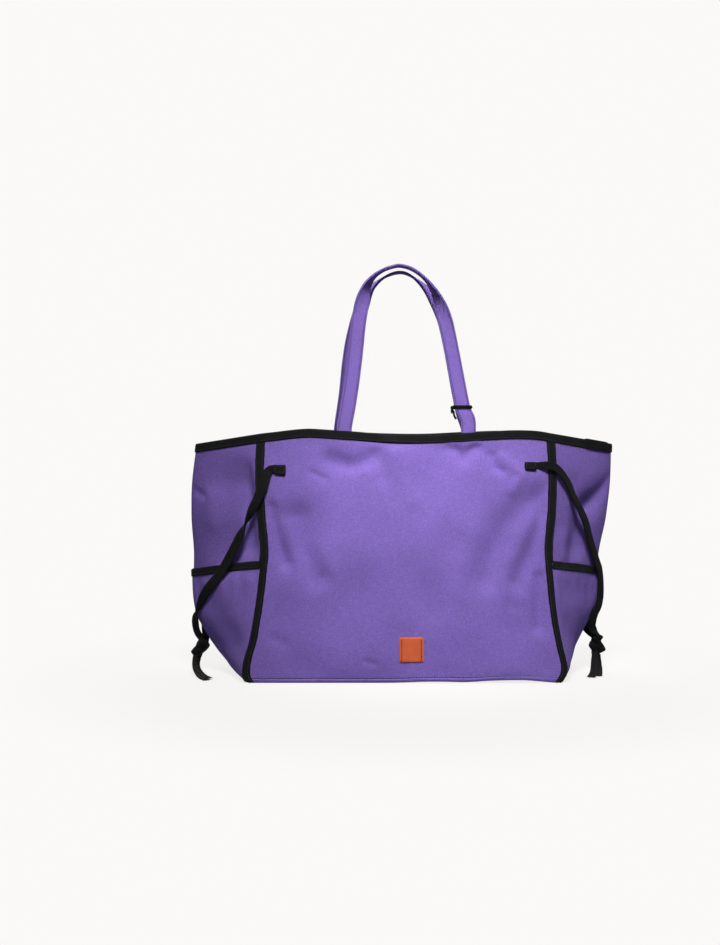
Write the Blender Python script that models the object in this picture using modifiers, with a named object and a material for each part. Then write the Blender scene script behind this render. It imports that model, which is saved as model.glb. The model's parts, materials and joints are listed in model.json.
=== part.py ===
"""A canvas tote bag that stands on its base.

Its walls are a front panel, a back panel and two side gussets that fold outwards into wings.
Bound seams, a bound rim, a pocket on each gusset, two strap handles and two ties on each side
complete it. Units are metres. +X is to the right as the front is seen, -Y is the front and
+Z is up. The origin is the middle of the base, on the floor.
"""

import math

import bmesh
import bpy
import numpy as np
from mathutils import Matrix, Vector

# Cloth and clearances
CANVAS = 0.0016
GAP = 0.0003
SKIN_GAP = 0.0005
FLOOR_GAP = 0.0005
MERGE_DISTANCE = 0.00001
SHARP_ANGLE = math.radians(35)

# Walls
BASE_WIDTH = 0.354
BASE_DEPTH = 0.170
BASE_END_BULGE = 0.010
BASE_SHEET = 0.0020
BASE_TURN_UP = 0.0065
BASE_EDGE_ROUND = 0.0015
MOUTH_WIDTH = 0.335
MOUTH_DEPTH = 0.076
WAIST_DRAW_IN = 0.0092
PANEL_BELLY = 0.006
RIM_HEIGHT = 0.2835
RIM_CORNER_HEIGHT = 0.279
WING_RIM_HEIGHT = 0.2675
LEFT_OVERHANG = 0.0865
RIGHT_OVERHANG = 0.0775
GUSSET_BOW = 0.003

# Bindings and tapes
SEAM_TAPE_WIDTH = 0.009
SEAM_TAPE = 0.0012
RIM_BINDING_HEIGHT = 0.009
RIM_BINDING = 0.0012
POCKET_BINDING_HEIGHT = 0.008
POCKET_BINDING = 0.0022

# Side pockets
POCKET_CLOTH = 0.0012
POCKET_SEAM_HEIGHT = 0.131
LEFT_POCKET_FOLD_HEIGHT = 0.116
RIGHT_POCKET_FOLD_HEIGHT = 0.120

# Handles
HANDLE_WIDTH = 0.0175
HANDLE_THICKNESS = 0.0030
FRONT_HANDLE_SPREAD = 0.143
BACK_HANDLE_SPREAD = 0.153
FRONT_HANDLE_RISE = 0.193
BACK_HANDLE_RISE = 0.188
HANDLE_HINGE_CLEARANCE = 0.0011
HANDLE_MEETING_GAP = 0.0016
HANDLE_CROWN_SHIFT = -0.0055
HANDLE_TAB_LENGTH = 0.040

# Band knotted round the front handle
BAND_HEIGHT = 0.0036
BAND_THICKNESS = 0.0012
BAND_UP_THE_LEG = 0.026
BAND_TAIL_LENGTH = 0.012
BAND_TAIL_RADIUS = 0.0012

# Leather patch on the front
PATCH_WIDTH = 0.0275
PATCH_HEIGHT = 0.028
PATCH_THICKNESS = 0.0015
PATCH_ACROSS = 0.005
PATCH_UP = 0.037

# Ties
TIE_WIDTH = 0.010
TIE_THICKNESS = 0.0015
TIE_STITCH_LENGTH = 0.014
TIE_STITCH_THICKNESS = 0.0022
KNOT_RING = 0.0052
KNOT_WAVE = 0.0026
KNOT_TUBE = 0.0018
KNOT_STEPS = 36
# From the middle of a knot to the ends of its back tie and back tail
KNOT_TO_TIE = (0.0005, 0.0014, 0.0101)
KNOT_TO_TAIL = (0.0025, 0.0027, -0.0084)

# Heights of the rows of facets, as shares of the wall's height
LEVEL_SHARES = (
    0, 0.03, 0.07, 0.11, 0.155, 0.2, 0.245, 0.3, 0.36, 0.5, 0.6, 0.7, 0.8, 0.9, 1,
)
# Places of the columns of facets between the seam tapes, as shares of the way across
COLUMN_SHARES = (0.1, 0.2, 0.3, 0.4, 0.5, 0.6, 0.7, 0.8, 0.9)
# How far the panels' side seams are drawn in: height share, share of WAIST_DRAW_IN
WAIST_SHARES = (
    (0, 0), (0.07, -0.15), (0.16, 0.27), (0.3, 0.67), (0.43, 0.91), (0.51, 1),
    (0.69, 0.32), (0.83, 0), (1, 0),
)
# How far the folded edges stand out: height share, share of the overhang
LEFT_FOLD_SHARES = (
    (0, 0), (0.049, 0.34), (0.157, 0.65), (0.24, 0.86), (0.288, 0.915), (0.445, 1),
    (0.745, 0.98), (1, 0.91),
)
RIGHT_FOLD_SHARES = (
    (0, 0), (0.049, 0.19), (0.153, 0.44), (0.195, 0.53), (0.288, 0.74), (0.483, 0.86),
    (0.584, 0.9), (0.77, 0.95), (1, 1),
)
# A handle's centre line: share of its rise, share of half its spread
FRONT_HANDLE_SHARES = (
    (0, 1), (0.04, 1), (0.16, 0.963), (0.41, 0.865), (0.625, 0.735), (0.81, 0.63),
    (0.91, 0.46), (0.975, 0.24), (1, 0),
)
BACK_HANDLE_SHARES = (
    (0, 1), (0.04, 1), (0.16, 0.965), (0.335, 0.88), (0.6, 0.69), (0.81, 0.49),
    (0.92, 0.31), (0.98, 0.15), (1, 0),
)
# The handle's quarter turn begins and ends at these shares of its rise
TWIST_START_SHARE = 0.6
TWIST_END_SHARE = 0.97
HANDLE_STEPS_PER_SPAN = 3
# The rounding of a handle's end: share of half the thickness past the axis, share of thickness
HANDLE_END_SHARES = ((1, 0.28), (0.8, 0.66), (0.4, 0.93))

# Places beside a wing: share of its reach out from the seam, of the half depth, of the height
LEFT_KNOT_SHARES = (0.7540, 0.0000, 0.0961)
RIGHT_KNOT_SHARES = (0.6790, 0.0000, 0.1244)
# Each row of a tie is its middle's place beside the wing and the way that its flat face looks
LEFT_FRONT_TIE_SHARES = (
    ((-0.1858, -1.0548, 0.8584), (0, -1, 0)),
    ((-0.1512, -1.0741, 0.8577), (0, -1, 0)),
    ((-0.1077, -1.0965, 0.8441), (0, -1, 0)),
    ((-0.0760, -1.1054, 0.8172), (-0.1, -1, 0)),
    ((-0.0317, -1.1005, 0.7742), (-0.25, -1, 0)),
    ((0.0770, -1.0359, 0.7097), (-0.45, -1, 0)),
    ((0.1995, -0.9130, 0.6434), (-0.6, -1, 0)),
    ((0.3452, -0.7708, 0.5663), (-0.65, -1, 0)),
    ((0.5230, -0.6085, 0.4624), (-0.7, -1, 0)),
    ((0.6138, -0.5264, 0.4140), (-0.75, -1, 0)),
    ((0.7527, -0.3325, 0.3369), (-0.8, -1, 0)),
    ((0.8400, -0.2216, 0.2724), (-0.9, -1, 0)),
    ((0.8887, -0.1553, 0.2330), (-0.9, -1, 0)),
    ((0.9017, -0.1055, 0.1953), (-0.6, -1, 0)),
    ((0.8389, -0.0517, 0.1613), (-0.2, -1, 0)),
)
LEFT_BACK_TIE_SHARES = (
    ((-0.1858, 1.0548, 0.8584), (0, 1, 0)),
    ((-0.1512, 1.0741, 0.8577), (0, 1, 0)),
    ((-0.1077, 1.0965, 0.8441), (0, 1, 0)),
    ((-0.0760, 1.1054, 0.8172), (-0.1, 1, 0)),
    ((-0.0317, 1.1005, 0.7742), (-0.25, 1, 0)),
    ((0.0770, 1.0359, 0.7097), (-0.45, 1, 0)),
    ((0.1995, 0.9130, 0.6434), (-0.6, 1, 0)),
    ((0.3452, 0.7708, 0.5663), (-0.65, 1, 0)),
    ((0.5230, 0.6085, 0.4624), (-0.7, 1, 0)),
    ((0.6138, 0.5264, 0.4140), (-0.75, 1, 0)),
    ((0.7411, 0.3470, 0.3369), (-0.8, 1, 0)),
    ((0.7995, 0.2632, 0.2724), (-0.9, 1, 0)),
    ((0.8121, 0.2021, 0.2294), (-0.9, 1, 0)),
    ((0.7952, 0.1380, 0.1900), (-0.6, 1, 0)),
    ((0.7734, 0.0644, 0.1577), (-0.2, 1, 0)),
)
RIGHT_FRONT_TIE_SHARES = (
    ((-0.2334, -1.0596, 0.8728), (0, -1, 0)),
    ((-0.1545, -1.0889, 0.8746), (0, -1, 0)),
    ((-0.0641, -1.1171, 0.8753), (0, -1, 0)),
    ((0.0256, -1.1018, 0.8681), (0.25, -1, 0)),
    ((0.1211, -1.0167, 0.8459), (0.45, -1, 0)),
    ((0.2455, -0.8749, 0.7993), (0.55, -1, 0)),
    ((0.3369, -0.7706, 0.7455), (0.6, -1, 0)),
    ((0.4461, -0.6605, 0.6971), (0.65, -1, 0)),
    ((0.5751, -0.5255, 0.6344), (0.7, -1, 0)),
    ((0.6756, -0.4196, 0.5663), (0.75, -1, 0)),
    ((0.7943, -0.2636, 0.4767), (0.85, -1, 0)),
    ((0.8436, -0.2001, 0.4265), (0.9, -1, 0)),
    ((0.8285, -0.1594, 0.3405), (1, -1, 0)),
    ((0.7920, -0.1392, 0.2796), (1, -1, 0)),
    ((0.7128, -0.1001, 0.2151), (0.6, -1, 0)),
)
RIGHT_BACK_TIE_SHARES = (
    ((-0.2334, 1.0596, 0.8728), (0, 1, 0)),
    ((-0.1545, 1.0889, 0.8746), (0, 1, 0)),
    ((-0.0641, 1.1171, 0.8753), (0, 1, 0)),
    ((0.0256, 1.1018, 0.8681), (0.25, 1, 0)),
    ((0.1211, 1.0167, 0.8459), (0.45, 1, 0)),
    ((0.2455, 0.8749, 0.7993), (0.55, 1, 0)),
    ((0.3369, 0.7706, 0.7455), (0.6, 1, 0)),
    ((0.4461, 0.6605, 0.6971), (0.65, 1, 0)),
    ((0.5751, 0.5255, 0.6344), (0.7, 1, 0)),
    ((0.6756, 0.4196, 0.5663), (0.75, 1, 0)),
    ((0.7685, 0.2956, 0.4767), (0.85, 1, 0)),
    ((0.7920, 0.2617, 0.4265), (0.9, 1, 0)),
    ((0.7704, 0.2246, 0.3405), (1, 1, 0)),
    ((0.7275, 0.2087, 0.2796), (1, 1, 0)),
    ((0.6418, 0.1736, 0.2151), (0.6, 1, 0)),
    ((0.6709, 0.0785, 0.1828), (0.3, 1, 0)),
)
LEFT_FRONT_TAIL_SHARES = (
    ((0.7976, -0.0848, 0.0523), (0, -0.7, 0.7)),
    ((0.8134, -0.2283, 0.0376), (0, -0.3, 1)),
    ((0.7929, -0.4056, 0.0251), (0, -0.2, 1)),
    ((0.7432, -0.5811, 0.0143), (0, -0.1, 1)),
    ((0.6752, -0.7087, 0.0072), (0, 0, 1)),
    ((0.6006, -0.7724, 0.0043), (0, 0, 1)),
)
LEFT_BACK_TAIL_SHARES = (
    ((0.7200, -0.0121, 0.0430), (0, -0.8, 0.6)),
    ((0.7300, -0.1310, 0.0222), (0, -0.3, 1)),
    ((0.7265, -0.2842, 0.0115), (0, -0.2, 1)),
    ((0.7044, -0.4249, 0.0057), (0, 0, 1)),
    ((0.6584, -0.5306, 0.0039), (0, 0, 1)),
)
RIGHT_FRONT_TAIL_SHARES = (
    ((0.6090, -0.1105, 0.0753), (0, -0.7, 0.7)),
    ((0.5935, -0.2301, 0.0520), (0, -0.5, 1)),
    ((0.5760, -0.3715, 0.0330), (0, -0.3, 1)),
    ((0.5514, -0.5107, 0.0172), (0, -0.3, 1)),
    ((0.5279, -0.6260, 0.0072), (0, -0.1, 1)),
)
RIGHT_BACK_TAIL_SHARES = (
    ((0.6737, -0.0122, 0.0645), (0, -0.8, 0.6)),
    ((0.6629, -0.1321, 0.0366), (0, -0.5, 1)),
    ((0.6517, -0.2734, 0.0186), (0, -0.3, 1)),
    ((0.6337, -0.4016, 0.0072), (0, -0.1, 1)),
    ((0.6188, -0.4952, 0.0039), (0, 0, 1)),
)
TIE_STEPS_PER_SPAN = 2

WALLS = ("front", "right", "back", "left")
CANVAS_COLOUR = (0.21, 0.12, 0.46, 1)
TAPE_COLOUR = (0.012, 0.012, 0.012, 1)
LEATHER_COLOUR = (0.52, 0.10, 0.035, 1)


def clear_scene():
    for thing in list(bpy.data.objects):
        bpy.data.objects.remove(thing, do_unlink=True)


def material(name, colour, roughness):
    finish = bpy.data.materials.new(name)
    finish.use_nodes = True
    shader = finish.node_tree.nodes["Principled BSDF"]
    shader.inputs["Base Color"].default_value = colour
    shader.inputs["Roughness"].default_value = roughness
    shader.inputs["Metallic"].default_value = 0
    return finish


def purple_canvas(name):
    return material(name + "_canvas", CANVAS_COLOUR, 0.85)


def black_cotton(name):
    return material(name + "_cotton", TAPE_COLOUR, 0.9)


def tan_leather(name):
    return material(name + "_leather", LEATHER_COLOUR, 0.55)


def follow(places, share):
    """The value at a share, on a smooth line through (share, value) places."""
    shares, values = zip(*places)
    slopes = np.gradient(values, shares)
    index = min(int(np.searchsorted(shares, share, side="right")) - 1, len(shares) - 2)
    span = shares[index + 1] - shares[index]
    part = (share - shares[index]) / span
    start = (1 + 2 * part) * (1 - part) ** 2 * values[index]
    start += part * (1 - part) ** 2 * span * slopes[index]
    end = part * part * (3 - 2 * part) * values[index + 1]
    return start + end - part * part * (1 - part) * span * slopes[index + 1]


def blend(start, end, part):
    return start + (end - start) * part


def smooth_step(part):
    part = min(max(part, 0), 1)
    return part * part * (3 - 2 * part)


def half_width(level):
    """From the middle plane to a side seam, at a share of the height."""
    straight = blend(BASE_WIDTH, MOUTH_WIDTH, level) / 2
    return straight - WAIST_DRAW_IN * follow(WAIST_SHARES, level)


def half_depth(level):
    """From the middle plane to a panel's side edge, at a share of the height."""
    return blend(BASE_DEPTH, MOUTH_DEPTH, level) / 2


def overhang(wall, level):
    """How far a gusset's fold stands out from the side seams."""
    reach, places = (LEFT_OVERHANG, LEFT_FOLD_SHARES)
    if wall == "right":
        reach, places = (RIGHT_OVERHANG, RIGHT_FOLD_SHARES)
    return BASE_END_BULGE + (reach - BASE_END_BULGE) * follow(places, level)


def panel_point(wall, across, level):
    """A point on the outside of the front or back panel, from its first seam to its second."""
    way = -1 if wall == "front" else 1
    crown = math.sin(math.pi * across)
    depth = half_depth(level) + PANEL_BELLY * crown * math.sin(math.pi * level)
    height = level * blend(RIM_CORNER_HEIGHT, RIM_HEIGHT, crown)
    return np.array([-way * (2 * across - 1) * half_width(level), way * depth, height])


def gusset_point(wall, across, level):
    """A point on the outside of a gusset, from its first seam over its fold to its second."""
    side = 1 if wall == "right" else -1
    to_fold = 1 - abs(2 * across - 1)
    turn = side * math.copysign(1, 2 * across - 1)
    reach, depth = overhang(wall, level), half_depth(level)
    bow = GUSSET_BOW * math.sin(math.pi * to_fold) * math.sin(math.pi * level)
    slant = math.hypot(reach, depth)
    x = half_width(level) + reach * to_fold + bow * depth / slant
    y = depth * (1 - to_fold) + bow * reach / slant
    height = level * blend(RIM_CORNER_HEIGHT, WING_RIM_HEIGHT, to_fold)
    return np.array([side * x, turn * y, height])


def wall_point(wall, across, level):
    point = panel_point if wall in ("front", "back") else gusset_point
    return point(wall, across, level)


def wall_length(wall, level):
    if wall in ("front", "back"):
        return 2 * half_width(level)
    return 2 * math.hypot(overhang(wall, level), half_depth(level))


def wall_facets(wall):
    """The corners of a wall's facets, by row and column, from seam to seam."""
    rows = []
    for level in LEVEL_SHARES:
        edge = SEAM_TAPE_WIDTH / 2 / wall_length(wall, level)
        between = [edge + (1 - 2 * edge) * share for share in COLUMN_SHARES]
        places = [0, edge, *between, 1 - edge, 1]
        rows.append([wall_point(wall, across, level) for across in places])
    return np.array(rows)


FACETS = {wall: wall_facets(wall) for wall in WALLS}
LAST_ROW = len(LEVEL_SHARES) - 1


def last_column(wall):
    return FACETS[wall].shape[1] - 1


def facet_point(wall, row, column):
    """The point at a fractional row and column of a wall's facets."""
    grid = FACETS[wall]
    low, left = (min(int(row), LAST_ROW - 1), min(int(column), last_column(wall) - 1))
    up, right = (row - low, column - left)
    lower = blend(grid[low, left], grid[low, left + 1], right)
    upper = blend(grid[low + 1, left], grid[low + 1, left + 1], right)
    return blend(lower, upper, up)


def row_at(wall, column, height):
    """The fractional row at which a column reaches a height."""
    left = min(int(column), last_column(wall) - 1)
    heights = blend(FACETS[wall][:, left, 2], FACETS[wall][:, left + 1, 2], column - left)
    return float(np.interp(height, heights, range(LAST_ROW + 1)))


def column_at(wall, row, x):
    """The fractional column of a panel at a place across it."""
    low = min(int(row), LAST_ROW - 1)
    places = blend(FACETS[wall][low, :, 0], FACETS[wall][low + 1, :, 0], row - low)
    order = np.argsort(places)
    return float(np.interp(x, places[order], order))


def column_past(wall, row, column, distance):
    """The fractional column that lies a distance past a whole one, back if it is negative."""
    step = 1 if distance > 0 else -1
    cell = np.linalg.norm(facet_point(wall, row, column + step) - facet_point(wall, row, column))
    return column + distance / cell


def whole_between(start, end):
    """The fractional start and end with the whole numbers between them."""
    low, high = sorted((start, end))
    inner = [n for n in range(math.floor(low) + 1, math.ceil(high)) if low < n < high]
    return [low, *inner, high]


def lifted(grid, distance, closed=False):
    """A grid of points moved off its own surface, by the same distance from every facet."""
    rows, columns = grid.shape[:2]
    moved = grid.copy()
    for row in range(rows):
        for column in range(columns):
            normals = []
            for low in (row - 1, row):
                for left in (column - 1, column):
                    inside = 0 <= left < columns - 1
                    if 0 <= low < rows - 1 and (closed or inside):
                        right = (left + 1) % columns
                        along = grid[low, right] - grid[low, left]
                        along = along + grid[low + 1, right] - grid[low + 1, left]
                        up = grid[low + 1, left] - grid[low, left]
                        up = up + grid[low + 1, right] - grid[low, right]
                        normal = np.cross(along, up)
                        normals.append(normal / np.linalg.norm(normal))
            aims = np.full(len(normals), distance)
            shift = np.linalg.lstsq(np.array(normals), aims, rcond=0.02)[0]
            moved[row, column] = grid[row, column] + shift
    return moved


def add_object(name, mesh, finish):
    part = bpy.data.objects.new(name, mesh)
    PARTS.objects.link(part)
    part.data.materials.append(finish)
    return part


def thicken(part, thickness, outwards):
    """Gives an open surface its thickness, on the side that its faces look to or the other."""
    shell = part.modifiers.new("Thickness", "SOLIDIFY")
    shell.thickness = thickness
    shell.offset = 1 if outwards else -1
    shell.use_even_offset = True


def grid_mesh(name, grid, closed=False):
    """An open surface over a grid of points, with its faces looking out of the bag."""
    rows, columns = grid.shape[:2]
    shape = bmesh.new()
    points = [[shape.verts.new(point) for point in row] for row in grid]
    for row in range(rows - 1):
        for column in range(columns if closed else columns - 1):
            right = (column + 1) % columns
            below, above = (points[row], points[row + 1])
            shape.faces.new((below[column], below[right], above[right], above[column]))
    mesh = bpy.data.meshes.new(name)
    shape.to_mesh(mesh)
    shape.free()
    mesh.shade_smooth()
    mesh.set_sharp_from_angle(angle=SHARP_ANGLE)
    return mesh


def skin(name, grid, lift, thickness, finish):
    """A layer of cloth laid on a wall, a small distance off it."""
    part = add_object(name, grid_mesh(name, lifted(grid, lift)), finish)
    thicken(part, thickness, outwards=True)
    return part


def base_row(wall, column):
    """The row at the upper edge of the base panel."""
    return row_at(wall, column, BASE_TURN_UP)


def above_base(wall, column):
    """The row just above the base panel, where the walls and pockets begin."""
    return row_at(wall, column, BASE_TURN_UP + GAP)


def top_row(wall, column):
    return LAST_ROW


def wall_grid(wall, first_column, last, low, high):
    """A wall's facets between two columns, and between two rows that may vary by column."""
    columns = whole_between(first_column, last)
    lows, highs = ([low(wall, column) for column in columns], [high(wall, column) for column in columns])
    between = range(math.floor(max(lows)) + 1, math.ceil(min(highs)))
    rows = [lows, *[[row] * len(columns) for row in between], highs]
    return np.array([[facet_point(wall, r, c) for r, c in zip(row, columns)] for row in rows])


def make_wall(wall, name):
    """A panel or a gusset: one layer of canvas that stops short of its seams and of the base."""
    setback = (CANVAS + 2 * GAP) / (SEAM_TAPE_WIDTH / 2)
    grid = wall_grid(wall, setback, last_column(wall) - setback, above_base, top_row)
    part = add_object(name, grid_mesh(name, grid), purple_canvas(name))
    thicken(part, CANVAS, outwards=False)


def ring_row(row_of):
    """Points right round the bag, each at the row that its wall and column ask for."""
    points = []
    for wall in WALLS:
        for column in range(last_column(wall)):
            points.append(facet_point(wall, row_of(wall, column), column))
    return np.array(points)


def make_base():
    """The base panel, turned up all round to meet the walls."""
    foot = ring_row(lambda wall, column: 0)
    top = ring_row(base_row)
    round_row = ring_row(lambda wall, column: row_at(wall, column, BASE_EDGE_ROUND))
    lengths = np.linalg.norm(foot[:, :2], axis=1)
    foot[:, :2] *= (1 - BASE_EDGE_ROUND / lengths)[:, None]
    mesh = grid_mesh("base_panel", np.array([foot, round_row, top]), closed=True)
    shape = bmesh.new()
    shape.from_mesh(mesh)
    shape.verts.ensure_lookup_table()
    shape.faces.new(list(reversed(shape.verts[: len(foot)])))
    shape.to_mesh(mesh)
    shape.free()
    part = add_object("base_panel", mesh, purple_canvas("base_panel"))
    thicken(part, BASE_SHEET, outwards=False)


def binding_row(wall, column):
    """The row at the lower edge of the rim binding."""
    top = facet_point(wall, LAST_ROW, column)[2]
    return row_at(wall, column, top - RIM_BINDING_HEIGHT)


def make_rim_binding():
    """Black tape folded over the rim, right round the mouth."""
    wall = np.array([ring_row(binding_row), ring_row(top_row)])

    def leg(distance, rise):
        low, top = lifted(wall, distance, closed=True)
        top[:, 2] = wall[1, :, 2] + rise
        return low, top

    outside = leg(SKIN_GAP + RIM_BINDING, GAP + RIM_BINDING)
    inside = leg(-CANVAS - SKIN_GAP - RIM_BINDING, GAP + RIM_BINDING)
    inside_lining = leg(-CANVAS - SKIN_GAP, GAP)
    outside_lining = leg(SKIN_GAP, GAP)
    rows = [*outside, *reversed(inside), *inside_lining, *reversed(outside_lining), outside[0]]
    mesh = grid_mesh("rim_binding", np.array(rows), closed=True)
    shape = bmesh.new()
    shape.from_mesh(mesh)
    bmesh.ops.remove_doubles(shape, verts=shape.verts, dist=MERGE_DISTANCE)
    shape.to_mesh(mesh)
    shape.free()
    add_object("rim_binding", mesh, black_cotton("rim_binding"))


def make_seam_tape(first, second, name):
    """Black tape bent over the seam between two neighbouring walls, from the floor to the binding."""
    columns = ((first, last_column(first) - 1), (first, last_column(first)), (second, 1))
    low = [row_at(wall, column, FLOOR_GAP) for wall, column in columns]
    high = []
    for wall, column in columns:
        top = facet_point(wall, LAST_ROW, column)[2] - RIM_BINDING_HEIGHT - 2 * GAP
        high.append(row_at(wall, column, top))
    rows = [low, *[[row] * len(columns) for row in range(1, math.ceil(min(high)))], high]
    grid = [[facet_point(wall, r, c) for r, (wall, c) in zip(row, columns)] for row in rows]
    skin(name, np.array(grid), GAP, SEAM_TAPE, black_cotton(name))


def pocket_top_row(wall, column, drop):
    """The row a distance below the pocket's top edge, which dips from the seams to the fold."""
    fold_height = LEFT_POCKET_FOLD_HEIGHT if wall == "left" else RIGHT_POCKET_FOLD_HEIGHT
    to_fold = 1 - abs(2 * column / last_column(wall) - 1)
    return row_at(wall, column, blend(POCKET_SEAM_HEIGHT, fold_height, to_fold) - drop)


def make_pocket(wall, name):
    """A flat pocket on a gusset, with a bound top edge, between the two seam tapes."""
    first = column_past(wall, 0, 1, GAP)
    last = column_past(wall, 0, last_column(wall) - 1, -GAP)

    def cloth_top(side, column):
        return pocket_top_row(side, column, POCKET_BINDING_HEIGHT + GAP)

    def binding_low(side, column):
        return pocket_top_row(side, column, POCKET_BINDING_HEIGHT)

    def binding_top(side, column):
        return pocket_top_row(side, column, 0)

    cloth = wall_grid(wall, first, last, above_base, cloth_top)
    skin(name, cloth, SKIN_GAP, POCKET_CLOTH, purple_canvas(name))
    edge = wall_grid(wall, first, last, binding_low, binding_top)
    skin(name + "_binding", edge, SKIN_GAP, POCKET_BINDING, black_cotton(name + "_binding"))


def panel_skin(name, wall, middle, size, layer, finish):
    """A rectangle sewn flat on a panel. Its middle is (across, up) and its size (wide, high)."""
    middle_column = column_at(wall, row_at(wall, last_column(wall) / 2, middle[1]), middle[0])
    low = row_at(wall, middle_column, middle[1] - size[1] / 2)
    high = row_at(wall, middle_column, middle[1] + size[1] / 2)
    ends = [column_at(wall, low, middle[0] + way * size[0] / 2) for way in (-1, 1)]
    columns, rows = (whole_between(*ends), whole_between(low, high))
    grid = np.array([[facet_point(wall, row, column) for column in columns] for row in rows])
    skin(name, grid, SKIN_GAP, layer, finish)


def make_patch():
    place = (PATCH_ACROSS, PATCH_UP)
    size = (PATCH_WIDTH, PATCH_HEIGHT)
    panel_skin("leather_patch", "front", place, size, PATCH_THICKNESS, tan_leather("leather_patch"))


def beside_wing(side, shares):
    """The point at a share of a wing's reach from the seam, of the half depth and of the height."""
    out, deep, up = shares
    way, reach = (1, RIGHT_OVERHANG) if side == "right" else (-1, LEFT_OVERHANG)
    x = way * (half_width(up) + out * reach)
    return np.array([x, deep * half_depth(up), up * RIM_CORNER_HEIGHT])


def make_tie_stitch(name, wall, side, rows):
    """The sewn-down end of a tie, just before the start of its free length."""
    start = beside_wing(side, rows[0][0])
    inwards = -math.copysign(TIE_STITCH_LENGTH / 2 + SKIN_GAP, start[0])
    size = (TIE_STITCH_LENGTH, TIE_WIDTH)
    place = (start[0] + inwards, start[2])
    panel_skin(name, wall, place, size, TIE_STITCH_THICKNESS, black_cotton(name))


def smooth_route(points, steps):
    """Points along a smooth curve through the given ones, with so many steps to each span."""
    points = [np.array(point, float) for point in points]
    ends = [2 * points[0] - points[1], *points, 2 * points[-1] - points[-2]]
    route = []
    for index in range(1, len(ends) - 2):
        before, start, end, after = ends[index - 1 : index + 3]
        for step in range(steps):
            part = step / steps
            bend = 2 * start + (end - before) * part
            bend = bend + (2 * before - 5 * start + 4 * end - after) * part**2
            bend = bend + (3 * start - 3 * end + after - before) * part**3
            route.append(bend / 2)
    return [*route, points[-1]]


def strap_mesh(name, sections):
    """A closed flat strap. A section is its middle, its half width and its half thickness."""
    shape = bmesh.new()
    rings = []
    for middle, wide, thick in sections:
        corners = (middle - wide - thick, middle + wide - thick, middle + wide + thick, middle - wide + thick)
        rings.append([shape.verts.new(corner) for corner in corners])
    for low, high in zip(rings, rings[1:]):
        for corner in range(4):
            after = (corner + 1) % 4
            shape.faces.new((low[corner], low[after], high[after], high[corner]))
    shape.faces.new(list(reversed(rings[0])))
    shape.faces.new(rings[-1])
    bmesh.ops.recalc_face_normals(shape, faces=shape.faces)
    mesh = bpy.data.meshes.new(name)
    shape.to_mesh(mesh)
    shape.free()
    mesh.shade_smooth()
    mesh.set_sharp_from_angle(angle=SHARP_ANGLE)
    return mesh


def unit(vector):
    return vector / np.linalg.norm(vector)


def make_tie(name, route):
    """One stretch of tie tape along its route."""
    middles = smooth_route([place for place, look in route], TIE_STEPS_PER_SPAN)
    looks = smooth_route([look for place, look in route], TIE_STEPS_PER_SPAN)
    sections = []
    for index, (middle, look) in enumerate(zip(middles, looks)):
        before, after = (middles[max(index - 1, 0)], middles[min(index + 1, len(middles) - 1)])
        wide = unit(np.cross(after - before, look))
        thick = unit(np.cross(wide, after - before))
        sections.append((middle, wide * TIE_WIDTH / 2, thick * TIE_THICKNESS / 2))
    add_object(name, strap_mesh(name, sections), black_cotton(name))


def make_knot(name, place):
    """The overhand knot that joins a side's two ties: one closed tube in three lobes."""
    wire = bpy.data.curves.new(name, "CURVE")
    wire.dimensions = "3D"
    wire.bevel_depth = KNOT_TUBE
    wire.bevel_resolution = 1
    line = wire.splines.new("POLY")
    line.points.add(KNOT_STEPS - 1)
    for index, point in enumerate(line.points):
        turn = 2 * math.pi * index / KNOT_STEPS
        reach = KNOT_RING + KNOT_WAVE * math.cos(3 * turn)
        x, z = (reach * math.sin(2 * turn), reach * math.cos(2 * turn))
        point.co = (x, KNOT_WAVE * math.sin(3 * turn), z, 1)
    line.use_cyclic_u = True
    knot = add_object(name, wire, black_cotton(name))
    knot.location = place


def handle_sizes(way):
    """The front or back handle's spread, rise and centre line."""
    if way < 0:
        return FRONT_HANDLE_SPREAD, FRONT_HANDLE_RISE, FRONT_HANDLE_SHARES
    return BACK_HANDLE_SPREAD, BACK_HANDLE_RISE, BACK_HANDLE_SHARES


def handle_axis(way):
    """The line that a handle turns about: its distance to the front or back, and its height."""
    spread = handle_sizes(way)[0]
    stack = CANVAS + SKIN_GAP + RIM_BINDING + GAP + HANDLE_THICKNESS / 2
    wall = "front" if way < 0 else "back"
    rim = facet_point(wall, LAST_ROW, column_at(wall, LAST_ROW, spread / 2))[2]
    height = rim + GAP + RIM_BINDING + HANDLE_HINGE_CLEARANCE + HANDLE_THICKNESS / 2
    return way * (MOUTH_DEPTH / 2 - stack), height


def handle_lean(way):
    """How far a handle leans inwards, so that the two meet at their crowns."""
    rise = handle_sizes(way)[1]
    inwards = abs(handle_axis(way)[0]) - (HANDLE_WIDTH + HANDLE_MEETING_GAP) / 2
    return math.asin(inwards / rise)


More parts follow.
